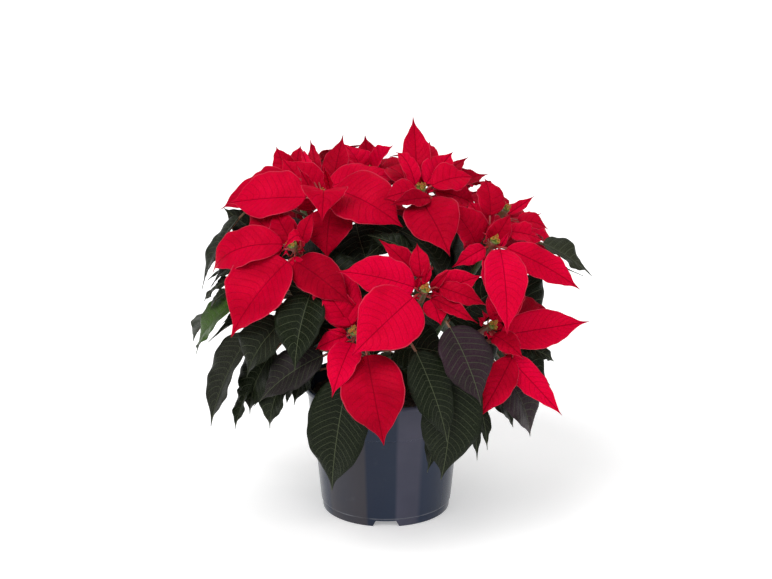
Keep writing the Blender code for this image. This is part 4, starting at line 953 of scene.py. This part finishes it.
def leaf_material():
    material, tree, shader = new_material("leaf_green", 0.42)
    middle, side, net = sheet_lines(tree, 0.055, 0.55)
    tone = field(tree, "tone")
    cloudy = noise_of(tree, 45.0, 4.0)
    # Tone picks the leaf's hue: near-black green, grey and purple, and at the top a bright green that is partly the
    # leaf's own green and partly painted backlight
    color = ramp(tree, tone, (
        (0.0, (0.004, 0.007, 0.002)),
        (0.3, (0.006, 0.010, 0.003)),
        (0.6, (0.014, 0.016, 0.010)),
        (0.75, (0.022, 0.014, 0.019)),
        (0.86, (0.030, 0.009, 0.020)),
        (0.94, (0.016, 0.042, 0.006)),
        (1.0, (0.055, 0.12, 0.012)),
    ))
    color = mix_color(tree, smooth_step(tree, cloudy, 0.35, 0.75, 0.0, 0.5), color, (0.006, 0.008, 0.005))
    lines = math_node(tree, "MAXIMUM", math_node(tree, "MULTIPLY", side, 0.7), math_node(tree, "MULTIPLY", net, 0.10))
    lines = math_node(tree, "MAXIMUM", lines, math_node(tree, "MULTIPLY", middle, 0.9))
    color = mix_color(tree, lines, color, (0.085, 0.100, 0.055))
    under = math_node(tree, "MULTIPLY", field(tree, "under"), 0.75)
    color = mix_color(tree, under, color, (0.035, 0.050, 0.024))
    tree.links.new(color, shader.inputs["Base Color"])
    height = math_node(tree, "ADD", math_node(tree, "MULTIPLY", side, -0.8), math_node(tree, "MULTIPLY", net, -0.4))
    height = math_node(tree, "ADD", height, math_node(tree, "MULTIPLY", noise_of(tree, 700.0, 2.0), 0.3))
    height = math_node(tree, "SUBTRACT", height, middle)
    tree.links.new(bump_of(tree, height, 0.6, 0.0008), shader.inputs["Normal"])
    tree.links.new(smooth_step(tree, cloudy, 0.3, 0.7, 0.30, 0.44), shader.inputs["Roughness"])
    shader.inputs["Specular IOR Level"].default_value = 0.09
    return material


def stem_material():
    material, tree, shader = new_material("stem_green", 0.45)
    spots = noise_of(tree, 160.0, 4.0)
    color = ramp(tree, spots, ((0.3, (0.035, 0.065, 0.02)), (0.6, (0.07, 0.10, 0.03)), (0.8, (0.10, 0.09, 0.05))))
    tree.links.new(color, shader.inputs["Base Color"])
    tree.links.new(bump_of(tree, noise_of(tree, 500.0, 3.0, (1.0, 1.0, 0.2)), 0.4, 0.0005), shader.inputs["Normal"])
    tree.links.new(smooth_step(tree, spots, 0.3, 0.7, 0.38, 0.55), shader.inputs["Roughness"])
    return material


def petiole_material(name, first, second):
    material, tree, shader = new_material(name, 0.4)
    spots = noise_of(tree, 120.0, 3.0)
    tree.links.new(ramp(tree, spots, ((0.3, first), (0.7, second))), shader.inputs["Base Color"])
    tree.links.new(bump_of(tree, noise_of(tree, 900.0, 2.0), 0.3, 0.0003), shader.inputs["Normal"])
    tree.links.new(smooth_step(tree, spots, 0.3, 0.7, 0.32, 0.5), shader.inputs["Roughness"])
    return material


def cup_material():
    material, tree, shader = new_material("cup_yellow_green", 0.38)
    part = field(tree, "part")
    color = ramp(tree, part, (
        (0.0, (0.10, 0.14, 0.02)),
        (0.3, (0.20, 0.24, 0.03)),
        (0.5, (0.42, 0.34, 0.03)),
        (0.75, (0.52, 0.01, 0.015)),
        (1.0, (0.40, 0.0, 0.01)),
    ))
    dull = noise_of(tree, 700.0, 2.0)
    color = mix_color(tree, smooth_step(tree, dull, 0.45, 0.75, 0.0, 0.4), color, (0.10, 0.12, 0.02))
    tree.links.new(color, shader.inputs["Base Color"])
    tree.links.new(bump_of(tree, dull, 0.3, 0.0003), shader.inputs["Normal"])
    tree.links.new(smooth_step(tree, dull, 0.3, 0.7, 0.3, 0.5), shader.inputs["Roughness"])
    return material


def pot_material():
    """Dark blue-grey plastic with broad upright bands of painted reflection that differ a little in tint, a gloss that
    varies a little, and a painted highlight along the foot step.
    """
    material, tree, shader = new_material("pot_plastic", 0.24)
    place = tree.nodes.new("ShaderNodeSeparateXYZ")
    tree.links.new(tree.nodes.new("ShaderNodeTexCoord").outputs["Object"], place.inputs["Vector"])
    # Painted reflections: the bearing round the pot picks upright bands of brown-grey and mauve on the navy plastic
    depth = math_node(tree, "MULTIPLY", place.outputs["Y"], -1.0)
    bearing = math_node(tree, "DIVIDE", math_node(tree, "ARCTAN2", place.outputs["X"], depth), 2.0 * math.pi)
    reflection_band = math_node(tree, "FRACT", math_node(tree, "ADD", math_node(tree, "MULTIPLY", bearing, POT_REFLECTION_BANDS), 0.5))
    cloud = noise_of(tree, 16.0, 5.0)
    color = ramp(tree, reflection_band, (
        (0.0, (0.019, 0.028, 0.054)),
        (0.17, (0.021, 0.030, 0.056)),
        (0.20, (0.050, 0.048, 0.060)),
        (0.40, (0.046, 0.043, 0.052)),
        (0.415, (0.015, 0.023, 0.046)),
        (0.54, (0.018, 0.028, 0.055)),
        (0.555, (0.070, 0.069, 0.104)),
        (0.65, (0.062, 0.062, 0.094)),
        (0.675, (0.020, 0.030, 0.060)),
        (0.80, (0.016, 0.025, 0.050)),
        (1.0, (0.019, 0.028, 0.054)),
    ))
    color = mix_color(tree, smooth_step(tree, cloud, 0.35, 0.75, 0.0, 0.35), color, (0.022, 0.030, 0.052))
    dust = smooth_step(tree, noise_of(tree, 90.0, 6.0), 0.62, 0.85, 0.0, 0.15)
    color = mix_color(tree, dust, color, (0.10, 0.10, 0.11))
    # Painted highlight: a pale line along the foot step, broken up by noise
    height = math_node(tree, "ABSOLUTE", math_node(tree, "SUBTRACT", place.outputs["Z"], FOOT_HEIGHT * MM))
    painted_foot_highlight = smooth_step(tree, height, 0.0003, 0.0011, 0.55, 0.0)
    uneven = smooth_step(tree, noise_of(tree, 60.0, 3.0), 0.3, 0.6)
    color = mix_color(tree, math_node(tree, "MULTIPLY", painted_foot_highlight, uneven), color, (0.20, 0.21, 0.24))
    tree.links.new(color, shader.inputs["Base Color"])
    tree.links.new(smooth_step(tree, cloud, 0.25, 0.75, 0.16, 0.26), shader.inputs["Roughness"])
    shader.inputs["Specular IOR Level"].default_value = 0.2
    tree.links.new(bump_of(tree, noise_of(tree, 1400.0, 2.0), 0.08, 0.0002), shader.inputs["Normal"])
    return material


def soil_material():
    material, tree, shader = new_material("peat", 0.95)
    coarse = noise_of(tree, 210.0, 6.0)
    color = ramp(tree, coarse, ((0.3, (0.012, 0.008, 0.006)), (0.55, (0.035, 0.022, 0.014)), (0.75, (0.09, 0.055, 0.03))))
    tree.links.new(color, shader.inputs["Base Color"])
    tree.links.new(bump_of(tree, noise_of(tree, 480.0, 8.0), 0.9, 0.002), shader.inputs["Normal"])
    return material


def floor_material():
    material, tree, shader = new_material("studio_floor", 0.85)
    color = ramp(tree, noise_of(tree, 3.0, 2.0), ((0.3, (0.90, 0.90, 0.90)), (0.7, (0.93, 0.93, 0.93))))
    tree.links.new(color, shader.inputs["Base Color"])
    tree.links.new(color, shader.inputs["Emission Color"])
    shader.inputs["Emission Strength"].default_value = 0.35
    return material


class Skin:
    """Points, four-cornered faces and per-point values of one piece, gathered and then made a mesh."""

    FIELDS = ("phase", "rib", "edge", "tone", "under", "part")

    def __init__(self):
        self.points = []
        self.faces = []
        self.values = []
        self.kinds = []
        self.count = 0

    def add(self, points, faces, kind, **values):
        count = len(points)
        row = np.zeros((count, len(self.FIELDS)))
        for name, value in values.items():
            row[:, self.FIELDS.index(name)] = value
        self.points.append(np.asarray(points) * MM)
        self.faces.append(np.asarray(faces) + self.count)
        self.values.append(row)
        self.kinds.append(np.full(len(faces), kind))
        self.count += count

    def make(self, name, materials):
        points = np.concatenate(self.points).astype(np.float32)
        faces = np.concatenate(self.faces).astype(np.int32)
        values = np.concatenate(self.values).astype(np.float32)
        kinds = np.concatenate(self.kinds).astype(np.int32)
        mesh = bpy.data.meshes.new(name)
        mesh.vertices.add(len(points))
        mesh.vertices.foreach_set("co", points.ravel())
        mesh.loops.add(faces.size)
        mesh.loops.foreach_set("vertex_index", faces.ravel())
        mesh.polygons.add(len(faces))
        mesh.polygons.foreach_set("loop_start", np.arange(0, faces.size, 4, dtype=np.int32))
        mesh.polygons.foreach_set("material_index", kinds)
        mesh.polygons.foreach_set("use_smooth", np.ones(len(faces), bool))
        for index, title in enumerate(self.FIELDS):
            layer = mesh.attributes.new(title, "FLOAT", "POINT")
            layer.data.foreach_set("value", np.ascontiguousarray(values[:, index]))
        mesh.update(calc_edges=True)
        mesh.validate()
        for material in materials:
            mesh.materials.append(material)
        obj = bpy.data.objects.new(name, mesh)
        bpy.context.scene.collection.objects.link(obj)
        return obj


def unit_rows(rows):
    return rows / np.linalg.norm(rows, axis=-1, keepdims=True)


def shell_faces(rows, columns):
    """Faces of a closed shell: an upper grid, a lower one after it, and the rim between them."""
    corner = np.arange(rows * columns).reshape(rows, columns)
    count = rows * columns
    upper = np.stack([corner[:-1, :-1], corner[:-1, 1:], corner[1:, 1:], corner[1:, :-1]], -1).reshape(-1, 4)
    lower = upper[:, ::-1] + count
    loop = np.concatenate([corner[0, :], corner[1:, -1], corner[-1, -2::-1], corner[-2:0:-1, 0]])
    after = np.roll(loop, -1)
    rim = np.stack([loop, loop + count, after + count, after], -1)
    return np.concatenate([upper, lower, rim])


def add_blade(skin, shape, rng, kind):
    sheet = shape["sheet"]
    small = shape["long"] < SMALL_SHEET
    rows, columns = SMALL_STEPS if small else BLADE_STEPS
    along = np.linspace(0.0, 1.0, rows + 1)[:, None]
    side_to = np.linspace(-1.0, 1.0, columns + 1)[None, :]
    base, lead, tip = (np.array(shape[name]) for name in ("base", "lead", "tip"))
    rest = 1.0 - along
    spine = base * rest**2 + lead * (2.0 * rest * along) + tip * along**2
    tangent = unit_rows((lead - base) * rest + (tip - lead) * along)
    side = np.array(shape["side"]) - tangent * (tangent @ np.array(shape["side"]))[:, None]
    side = unit_rows(side)
    turn = sheet["twist"] * along
    side = side * np.cos(turn) + np.cross(tangent, side) * np.sin(turn)
    normal = np.cross(side, tangent)
    half = shape["half"] * np.array([[sheet_width(sheet["kind"], float(place))] for place in along[:, 0]])
    late = np.clip((along - 0.78) / 0.17, 0.0, 1.0)
    half = half * (1.0 - TIP_SHARP * late * late * (3.0 - 2.0 * late))
    half = np.maximum(half, 0.5 * (PETIOLE_WIDTH * rest + 0.5 * TIP_WIDTH * along))
    bite = 0.35 if small else 0.9
    wobble = np.sin(2.0 * np.pi * (3.4 * along + rng.random())) + 0.6 * np.sin(2.0 * np.pi * (7.3 * along + rng.random()))
    half_here = half * np.ones_like(side_to)
    uneven = 0.5 * (1.0 + np.sign(side_to)) * wobble
    wobble = np.sin(2.0 * np.pi * (2.9 * along + rng.random())) + 0.6 * np.sin(2.0 * np.pi * (6.1 * along + rng.random()))
    uneven = uneven + 0.5 * (1.0 - np.sign(side_to)) * wobble
    half_here = half_here + bite * 0.5 * uneven * np.sin(np.pi * along)
    offset = half_here * side_to
    size = np.abs(side_to)
    fold = sheet["fold"]
    turn = 2.0 * np.pi * (WAVES * along + sheet["phase"] + np.where(side_to > 0.0, 0.27, 0.0))
    lift = sheet["wave"] * size**2 * np.sin(turn) * np.sin(np.pi * along)
    lift = lift + np.sqrt(offset**2 + 0.16) * math.sin(fold)
    belly = 0.05 * half * (size * (1.0 - size)) * 4.0
    ruffle = (0.25 if small else 0.7) * size**3 * np.sin(2.0 * np.pi * (5.2 * along + rng.random() + 0.3 * side_to))
    ruffle = ruffle * np.sin(np.pi * along)
    veins = max(5.0, shape["long"] / 6.4)
    phase = veins * along**0.92 - 0.17 * veins * size**1.35 + np.where(side_to > 0.0, 0.5, 0.0)
    pleat = (0.14 if small else 0.5) * np.cos(2.0 * np.pi * phase) * np.sqrt(size) * (1.0 - size**4)
    lift = lift + belly + ruffle - pleat * np.sin(np.pi * along)
    middle = spine[:, None, :] + side[:, None, :] * (offset * math.cos(fold))[..., None]
    middle = middle + normal[:, None, :] * lift[..., None]
    down = np.gradient(middle, axis=0)
    over = np.gradient(middle, axis=1)
    facing = unit_rows(np.cross(over, down))
    facing = facing * np.sign((facing * normal[:, None, :]).sum(-1, keepdims=True))
    thick = 0.5 * FINE_THICK * (1.0 - 0.45 * size**2)[..., None]
    upper = middle + facing * thick
    lower = middle - facing * thick
    points = np.concatenate([upper.reshape(-1, 3), lower.reshape(-1, 3)])
    # Listed sheets take their tone from the table, which for bracts is partly painted light and shade; the rest get a
    # random tone
    tone = TONES_AND_PAINTED_LIGHT.get(sheet["label"], rng.random() * (0.62 if sheet["kind"] == "leaf" else 1.0))
    twice = lambda values: np.tile((values * np.ones_like(offset)).ravel(), 2)
    under = np.concatenate([np.zeros(offset.size), np.ones(offset.size)])
    skin.add(
        points, shell_faces(rows + 1, columns + 1), kind,
        phase=twice(phase), rib=twice(np.abs(offset)), edge=twice(size), tone=tone, under=under,
    )
    return spine, normal


def add_tube(skin, line, radii, sides, kind, **values):
    """A round tube along a line of points, closed at both ends by a small ring."""
    line = np.array([tuple(point) for point in line])
    radii = np.array(radii, float)
    line = np.concatenate([line[:1], line, line[-1:]])
    radii = np.concatenate([[0.02], radii, [0.02]])
    ahead = np.gradient(line[1:-1], axis=0)
    ahead = unit_rows(np.concatenate([ahead[:1], ahead, ahead[-1:]]))
    first = np.zeros_like(ahead)
    guide = np.array([0.0, 0.0, 1.0]) if abs(ahead[0, 2]) < 0.9 else np.array([1.0, 0.0, 0.0])
    for index in range(len(line)):
        guide = guide - ahead[index] * (guide @ ahead[index])
        guide = guide / np.linalg.norm(guide)
        first[index] = guide
    second = np.cross(ahead, first)
    angle = np.arange(sides) * 2.0 * np.pi / sides
    ring = first[:, None, :] * np.cos(angle)[None, :, None] + second[:, None, :] * np.sin(angle)[None, :, None]
    points = line[:, None, :] + ring * radii[:, None, None]
    corner = np.arange(len(line) * sides).reshape(len(line), sides)
    after = np.roll(corner, -1, axis=1)
    faces = np.stack([corner[:-1], after[:-1], after[1:], corner[1:]], -1).reshape(-1, 4)
    skin.add(points.reshape(-1, 3), faces, kind, **values)


def smooth_line(points, steps):
    """A smooth line through the points of a stem."""
    points = [Vector(point) for point in points]
    padded = [points[0] * 2.0 - points[1], *points, points[-1] * 2.0 - points[-2]]
    found = []
    for index in range(1, len(padded) - 2):
        before, start, end, after = padded[index - 1 : index + 3]
        for step in range(steps):
            t = step / steps
            found.append(
                (start * 2.0 + (end - before) * t + (before * 2.0 - start * 5.0 + end * 4.0 - after) * t**2
                 + (start * 3.0 - before - end * 3.0 + after) * t**3) * 0.5
            )
    found.append(points[-1])
    return found


def add_stalk(skin, shape, spine, normal, kind):
    """The petiole, and the midrib that goes on from it under the blade."""
    small = shape["long"] < SMALL_SHEET
    line = [bow(shape["foot"], shape["bend"], shape["base"], step / 8) for step in range(8)]
    thick = 0.75 if small else (1.25 if shape["sheet"]["kind"] == "leaf" else 1.05)
    radii = [thick * (1.25 - 0.25 * min(1.0, step / 3)) for step in range(8)]
    under = FINE_THICK * 0.5
    count = len(spine)
    for index in range(0, int(count * 0.9), max(1, count // 12)):
        share = index / (count - 1)
        radius = max(0.22, thick * (1.0 - share) ** 1.3)
        line.append(Vector(spine[index] - normal[index] * (under + radius * 0.35)))
        radii.append(radius)
    add_tube(skin, line, radii, 7, kind, tone=0.5)


def leafy_piece(name, tubes, shapes, materials, rng):
    """One node's stems and sheets. Materials are stem, petiole and blade."""
    skin = Skin()
    for line, radii in tubes:
        add_tube(skin, line, radii, STEM_SIDES, 0)
    for shape in shapes:
        spine, normal = add_blade(skin, shape, rng, 2)
        add_stalk(skin, shape, spine, normal, 1)
    obj = skin.make(name + "_fine", materials)
    return obj


def cup_places(heart):
    """Frames of a bloom's flower cups, as in the CAD source."""
    axis = bloom_axis(heart)
    turn = axis.to_track_quat("Z", "Y").to_matrix().to_4x4()
    base = Matrix.Translation(heart + axis * (CLEAR + 0.9)) @ turn
    places = []
    for order in range(CUPS):
        angle = 2.0 * math.pi * order / (CUPS - 1) + heart.x
        ring = CUP_RING * 0.85 if order < CUPS - 1 else 0.0
        tall = CUP_HEIGHT * (0.85 if order < CUPS - 1 else 1.15)
        lean = Matrix.Rotation(angle, 4, "Z") @ Matrix.Rotation(math.radians(16.0 if ring else 0.0), 4, "Y")
        lift = Matrix.Translation(Vector((ring * math.cos(angle), ring * math.sin(angle), 0.2)))
        places.append((base @ lift @ lean, tall))
    return base, places


def add_turned(skin, frame, profile, sides, part, rib=0.0, ribs=5):
    """A turned form: (radius, height) pairs round the frame's Z, with shallow ribs."""
    angle = np.arange(sides) * 2.0 * np.pi / sides
    wave = 1.0 + rib * np.cos(ribs * angle)
    points = []
    for radius, height in profile:
        points.append(np.stack([radius * wave * np.cos(angle), radius * wave * np.sin(angle), np.full(sides, height)], -1))
    points = np.array(points).reshape(-1, 3)
    matrix = np.array(frame)
    points = points @ matrix[:3, :3].T + matrix[:3, 3]
    corner = np.arange(len(profile) * sides).reshape(len(profile), sides)
    after = np.roll(corner, -1, axis=1)
    faces = np.stack([corner[:-1], after[:-1], after[1:], corner[1:]], -1).reshape(-1, 4)
    skin.add(points, faces, 0, part=np.repeat(np.array(part, float), sides))


def cups_piece(name, heart, material, rng):
    skin = Skin()
    base, places = cup_places(heart)
    wide = CUP_RING + CUP_FOOT
    seat = ((0.02, -0.9), (wide, -0.9), (wide + 0.5, 0.2), (wide, 0.8), (wide * 0.5, 1.1), (0.02, 1.1))
    add_turned(skin, base, seat, 20, [0.1] * 6)
    for frame, tall in places:
        round_it = ((0.01, 0.0), (0.6, 0.0), (0.9, 0.25), (1.05, 0.55), (0.95, 0.8), (1.05, 0.97))
        round_it += ((0.92, 1.0), (0.75, 0.93), (0.55, 0.8), (0.01, 0.78))
        profile = [(radius * CUP_TOP, share * tall) for radius, share in round_it]
        part = (0.0, 0.0, 0.1, 0.25, 0.35, 0.7, 0.85, 0.6, 0.45, 0.4)
        add_turned(skin, frame, profile, 20, part, 0.06)
        gland = frame @ Matrix.Translation((CUP_TOP, 0.0, tall * 0.72)) @ Matrix.Rotation(math.radians(62.0), 4, "Y")
        lips = ((0.02, -0.3), (0.8, -0.2), (1.0, 0.3), (0.8, 0.5), (0.5, 0.35), (0.02, 0.3))
        add_turned(skin, gland, lips, 12, [0.45] * 6)
        for order in range(6):
            angle = rng.random() * 6.28
            out = 0.3 + rng.random() * 0.8
            foot = Vector((0.4 * math.cos(angle), 0.4 * math.sin(angle), tall * 0.75))
            top = Vector((out * math.cos(angle), out * math.sin(angle), tall * 1.1 + rng.random() * 1.4))
            ends = [frame @ foot, frame @ ((foot + top) * 0.5), frame @ top]
            add_tube(skin, ends, (0.16, 0.13, 0.12), 5, 0, part=0.8)
            bead = frame @ Matrix.Translation(top)
            add_turned(skin, bead, ((0.02, -0.3), (0.3, -0.15), (0.34, 0.1), (0.02, 0.3)), 6, (1.0, 0.55, 0.5, 0.5))
    return skin.make(name + "_cups", [material])


def finish_piece(obj, node):
    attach(obj, "root")
    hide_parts(node)


def pot_piece(material):
    """The pot turned finely from its CAD sizes, with rounded edges, and its notches and drain holes cut."""
    waist = WALL_RADIUS + WALL_FLARE * (COLLAR_FOOT - FOOT_HEIGHT)
    collar = waist + COLLAR_STEP
    top = WALL_RADIUS + WALL_FLARE * (POT_HEIGHT - FOOT_HEIGHT) + COLLAR_STEP
    inner = WALL_RADIUS + WALL_FLARE * (FLOOR_TOP - FOOT_HEIGHT) - WALL
    lip = top + LIP_OVERHANG
    under = POT_HEIGHT - LIP_HEIGHT
    profile = [
        (0.0, FLOOR_TOP), (inner - 3.0, FLOOR_TOP), (inner - 1.2, FLOOR_TOP + 0.5), (inner - 0.1, FLOOR_TOP + 2.2),
        (waist - WALL, COLLAR_FOOT - 1.5), (waist - WALL + 1.0, COLLAR_FOOT), (collar - WALL, COLLAR_FOOT + 1.5),
        (top - WALL - 0.1, POT_HEIGHT - 2.0), (top - 1.2, POT_HEIGHT - 0.4), (top - 0.4, POT_HEIGHT),
        (lip - 1.4, POT_HEIGHT), (lip - 0.5, POT_HEIGHT - 0.35), (lip, POT_HEIGHT - 1.3),
        (lip, under + 0.7), (lip - 0.3, under + 0.15), (lip - 0.9, under), (top + 0.2, under), (top - 0.4, under - 0.6),
        (collar + 0.1, COLLAR_FOOT + 1.8), (collar - 0.3, COLLAR_FOOT + 0.7), (collar - 1.2, COLLAR_FOOT + 0.1),
        (waist + 0.2, COLLAR_FOOT - 0.2), (waist, COLLAR_FOOT - 0.9), (WALL_RADIUS + 0.3, FOOT_HEIGHT + 1.2),
        (WALL_RADIUS, FOOT_HEIGHT + 0.3), (FOOT_RADIUS, FOOT_HEIGHT - 0.5), (FOOT_RADIUS - 0.5, 1.0),
        (FOOT_RADIUS - 0.9, 0.25), (FOOT_RADIUS - 1.4, 0.0), (FOOT_RADIUS - 2.2, 0.0), (FOOT_RADIUS - 2.6, 0.4),
        (FOOT_RADIUS - 3.0, FLOOR_TOP - FLOOR), (0.0, FLOOR_TOP - FLOOR),
    ]
    pot = turned_object("pot_fine", profile, 160)
    cutters = bpy.data.collections.new("cutters")
    bpy.context.scene.collection.children.link(cutters)
    for order in range(NOTCHES):
        bm = bmesh.new()
        bmesh.ops.create_cube(bm, size=1.0)
        turn = Matrix.Rotation(2.0 * math.pi * order / NOTCHES, 4, "Z")
        for vertex in bm.verts:
            high = vertex.co.z > 0.0
            width = NOTCH_TOP_WIDTH if high else NOTCH_FOOT_WIDTH + 4.0
            height = NOTCH_HEIGHT if high else -4.0
            deep = FOOT_RADIUS - 8.0 if vertex.co.y > 0.0 else FOOT_RADIUS + 8.0
            vertex.co = turn @ (Vector((width * 0.5 * math.copysign(1.0, vertex.co.x), -deep, height)) * MM)
        cutter_object("notch", bm, cutters)
    for order in range(DRAIN_HOLES):
        angle = 2.0 * math.pi * (order + 0.5) / DRAIN_HOLES
        spot = Vector((math.cos(angle) * DRAIN_CIRCLE, math.sin(angle) * DRAIN_CIRCLE, FLOOR_TOP - 1.2)) * MM
        bm = bmesh.new()
        bmesh.ops.create_cone(
            bm, cap_ends=True, segments=28, radius1=DRAIN_RADIUS * MM, radius2=DRAIN_RADIUS * MM,
            depth=10.0 * MM, matrix=Matrix.Translation(spot),
        )
        cutter_object("drain", bm, cutters)
    cut = pot.modifiers.new("Cut", "BOOLEAN")
    cut.operation = "DIFFERENCE"
    cut.operand_type = "COLLECTION"
    cut.collection = cutters
    cut.solver = "MANIFOLD"
    settle_modifiers(pot)
    for piece in list(cutters.objects):
        bpy.data.objects.remove(piece)
    bpy.data.collections.remove(cutters)
    soft = pot.modifiers.new("Edges", "BEVEL")
    soft.width = 0.4 * MM
    soft.segments = 2
    soft.limit_method = "ANGLE"
    soft.angle_limit = math.radians(50.0)
    settle_modifiers(pot)
    pot.data.shade_smooth()
    pot.data.set_sharp_from_angle(angle=math.radians(38.0))
    pot.data.materials.clear()
    pot.data.materials.append(material)
    return pot


def cutter_object(name, bm, collection):
    mesh = bpy.data.meshes.new(name)
    bm.to_mesh(mesh)
    bm.free()
    collection.objects.link(bpy.data.objects.new(name, mesh))


def settle_modifiers(obj):
    bpy.context.view_layer.update()
    graph = bpy.context.evaluated_depsgraph_get()
    mesh = bpy.data.meshes.new_from_object(obj.evaluated_get(graph))
    old = obj.data
    obj.modifiers.clear()
    obj.data = mesh
    bpy.data.meshes.remove(old)


def turned_object(name, profile, steps):
    bm = bmesh.new()
    corners = [bm.verts.new((radius * MM, 0.0, height * MM)) for radius, height in profile]
    edges = [bm.edges.new(pair) for pair in zip(corners, corners[1:])]
    bmesh.ops.spin(
        bm, geom=corners + edges, cent=(0, 0, 0), axis=(0, 0, 1), angle=2.0 * math.pi, steps=steps, use_merge=True
    )
    bmesh.ops.remove_doubles(bm, verts=bm.verts[:], dist=0.000005)
    bmesh.ops.recalc_face_normals(bm, faces=bm.faces[:])
    mesh = bpy.data.meshes.new(name)
    bm.to_mesh(mesh)
    bm.free()
    obj = bpy.data.objects.new(name, mesh)
    bpy.context.scene.collection.objects.link(obj)
    return obj


def soil_piece(material, rng):
    """Peat: a lumpy top with crumbs on it."""
    low = FLOOR_TOP + CLEAR + 0.4
    inner = WALL_RADIUS + WALL_FLARE * (low - FOOT_HEIGHT) - WALL - CLEAR - 2.4
    shoulder = WALL_RADIUS + WALL_FLARE * (COLLAR_FOOT - FOOT_HEIGHT) - WALL - CLEAR - 0.2
    top = WALL_RADIUS + WALL_FLARE * (SOIL_TOP - FOOT_HEIGHT) + COLLAR_STEP - WALL - CLEAR - 0.5
    profile = [(radius, SOIL_TOP + 1.0) for radius in np.linspace(0.0, top - 2.0, 44)]
    profile += [(top - 0.6, SOIL_TOP), (top, SOIL_TOP - 2.0), (shoulder, COLLAR_FOOT - 2.5), (inner, low), (0.0, low)]
    soil = turned_object("soil_fine", profile, 120)
    for vertex in soil.data.vertices:
        if vertex.co.z > (SOIL_TOP - 0.5) * MM:
            rough = noise.fractal(vertex.co * 90.0, 0.8, 2.2, 6)
            grain = noise.noise(vertex.co * 420.0)
            vertex.co.z += (1.5 * rough + 0.7 * grain) * MM
    bm = bmesh.new()
    bm.from_mesh(soil.data)
    for _ in range(420):
        angle = rng.random() * 2.0 * math.pi
        out = math.sqrt(rng.random()) * (top - 4.0)
        size = (0.8 + 1.8 * rng.random() ** 3) * MM
        spot = Vector((out * math.cos(angle), out * math.sin(angle), SOIL_TOP + 1.2 + rng.random())) * MM
        turn = Matrix.Rotation(rng.random() * 3.0, 4, Vector((rng.random(), rng.random(), rng.random() + 0.1)).normalized())
        shape = Matrix.Diagonal((1.0, 0.6 + 0.6 * rng.random(), 0.5 + 0.4 * rng.random(), 1.0))
        bmesh.ops.create_icosphere(bm, subdivisions=1, radius=size, matrix=Matrix.Translation(spot) @ turn @ shape)
    bm.to_mesh(soil.data)
    bm.free()
    soil.data.materials.append(material)
    return soil


def add_sun(name, away, power, spread, color=(1.0, 1.0, 1.0)):
    light = bpy.data.lights.new(name, "SUN")
    light.energy = power
    light.angle = math.radians(spread)
    light.color = color
    obj = bpy.data.objects.new(name, light)
    obj.rotation_euler = Vector(away).to_track_quat("Z", "Y").to_euler()
    bpy.context.scene.collection.objects.link(obj)


def stage_and_light():
    scene = bpy.context.scene
    bm = bmesh.new()
    bmesh.ops.create_grid(bm, x_segments=8, y_segments=8, size=9.0)
    mesh = bpy.data.meshes.new("studio_floor")
    bm.to_mesh(mesh)
    bm.free()
    mesh.materials.append(floor_material())
    floor = bpy.data.objects.new("studio_floor", mesh)
    scene.collection.objects.link(floor)
    world = bpy.data.worlds.new("studio")
    world.use_nodes = True
    world.node_tree.nodes["Background"].inputs["Color"].default_value = (1.0, 1.0, 1.0, 1.0)
    world.node_tree.nodes["Background"].inputs["Strength"].default_value = 0.25
    scene.world = world
    add_sun("key", (-0.55, -0.75, 1.0), 2.1, 40.0)
    add_sun("fill", (0.85, -0.7, 0.9), 0.9, 60.0)
    add_sun("back", (0.1, 0.8, 1.3), 0.8, 60.0)
    camera = bpy.data.cameras.new("camera")
    holder = bpy.data.objects.new("camera", camera)
    camera.sensor_width = 36.0
    camera.lens = EYE_DISTANCE * MM * 36.0 / LENS_SHARE
    camera.clip_end = 50.0
    holder.location = (CROWN + NEAR * EYE_DISTANCE) * MM
    holder.rotation_euler = (-NEAR).to_track_quat("-Z", "Y").to_euler()
    scene.collection.objects.link(holder)
    scene.camera = holder
    scene.view_settings.view_transform = "Standard"


def dress():
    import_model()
    rng = random.Random(SEED + 7)
    blooms, stems, shapes = plan()
    stem = stem_material()
    leaf = leaf_material()
    bract = bract_material()
    cup = cup_material()
    green = petiole_material("petiole_green_red", (0.10, 0.09, 0.03), (0.24, 0.035, 0.03))
    red = petiole_material("petiole_red", (0.42, 0.01, 0.02), (0.22, 0.03, 0.02))
    for plant, main in enumerate(MAIN_STEMS):
        node = "plant_%d" % (plant + 1)
        line = smooth_line([main + UP * (MAIN_FOOT + 28.0 * step) for step in range(4)] + [main + UP * MAIN_TOP], 5)
        tubes = [(line, [MAIN_RADIUS * (1.0 - 0.12 * step / len(line)) for step in range(len(line))])]
        for owner, points in stems:
            if owner == plant:
                fine = smooth_line(points, 7)
                radii = [STEM_RADIUS * (1.15 - 0.25 * min(1.0, step / 6)) for step in range(len(fine))]
                tubes.append((fine, radii))
        own = [shape for name, shape in shapes if name == node]
        finish_piece(leafy_piece(node, tubes, own, [stem, green, leaf], rng), node)
    for name, plant, heart, rows in blooms:
        axis = bloom_axis(heart)
        line = [heart - axis * (STALK_LENGTH * (1.0 - step / 8)) for step in range(9)]
        radii = [STALK_RADIUS + (STALK_TOP - STALK_RADIUS) * (step / 8) ** 2 for step in range(9)]
        own = [shape for node, shape in shapes if node == name]
        finish_piece(leafy_piece(name, [(line, radii)], own, [green, red, bract], rng), name)
        finish_piece(cups_piece(name, heart, cup, rng), name + "_cyathia")
    finish_piece(pot_piece(pot_material()), "pot")
    finish_piece(soil_piece(soil_material(), rng), "soil")
    stage_and_light()


dress()
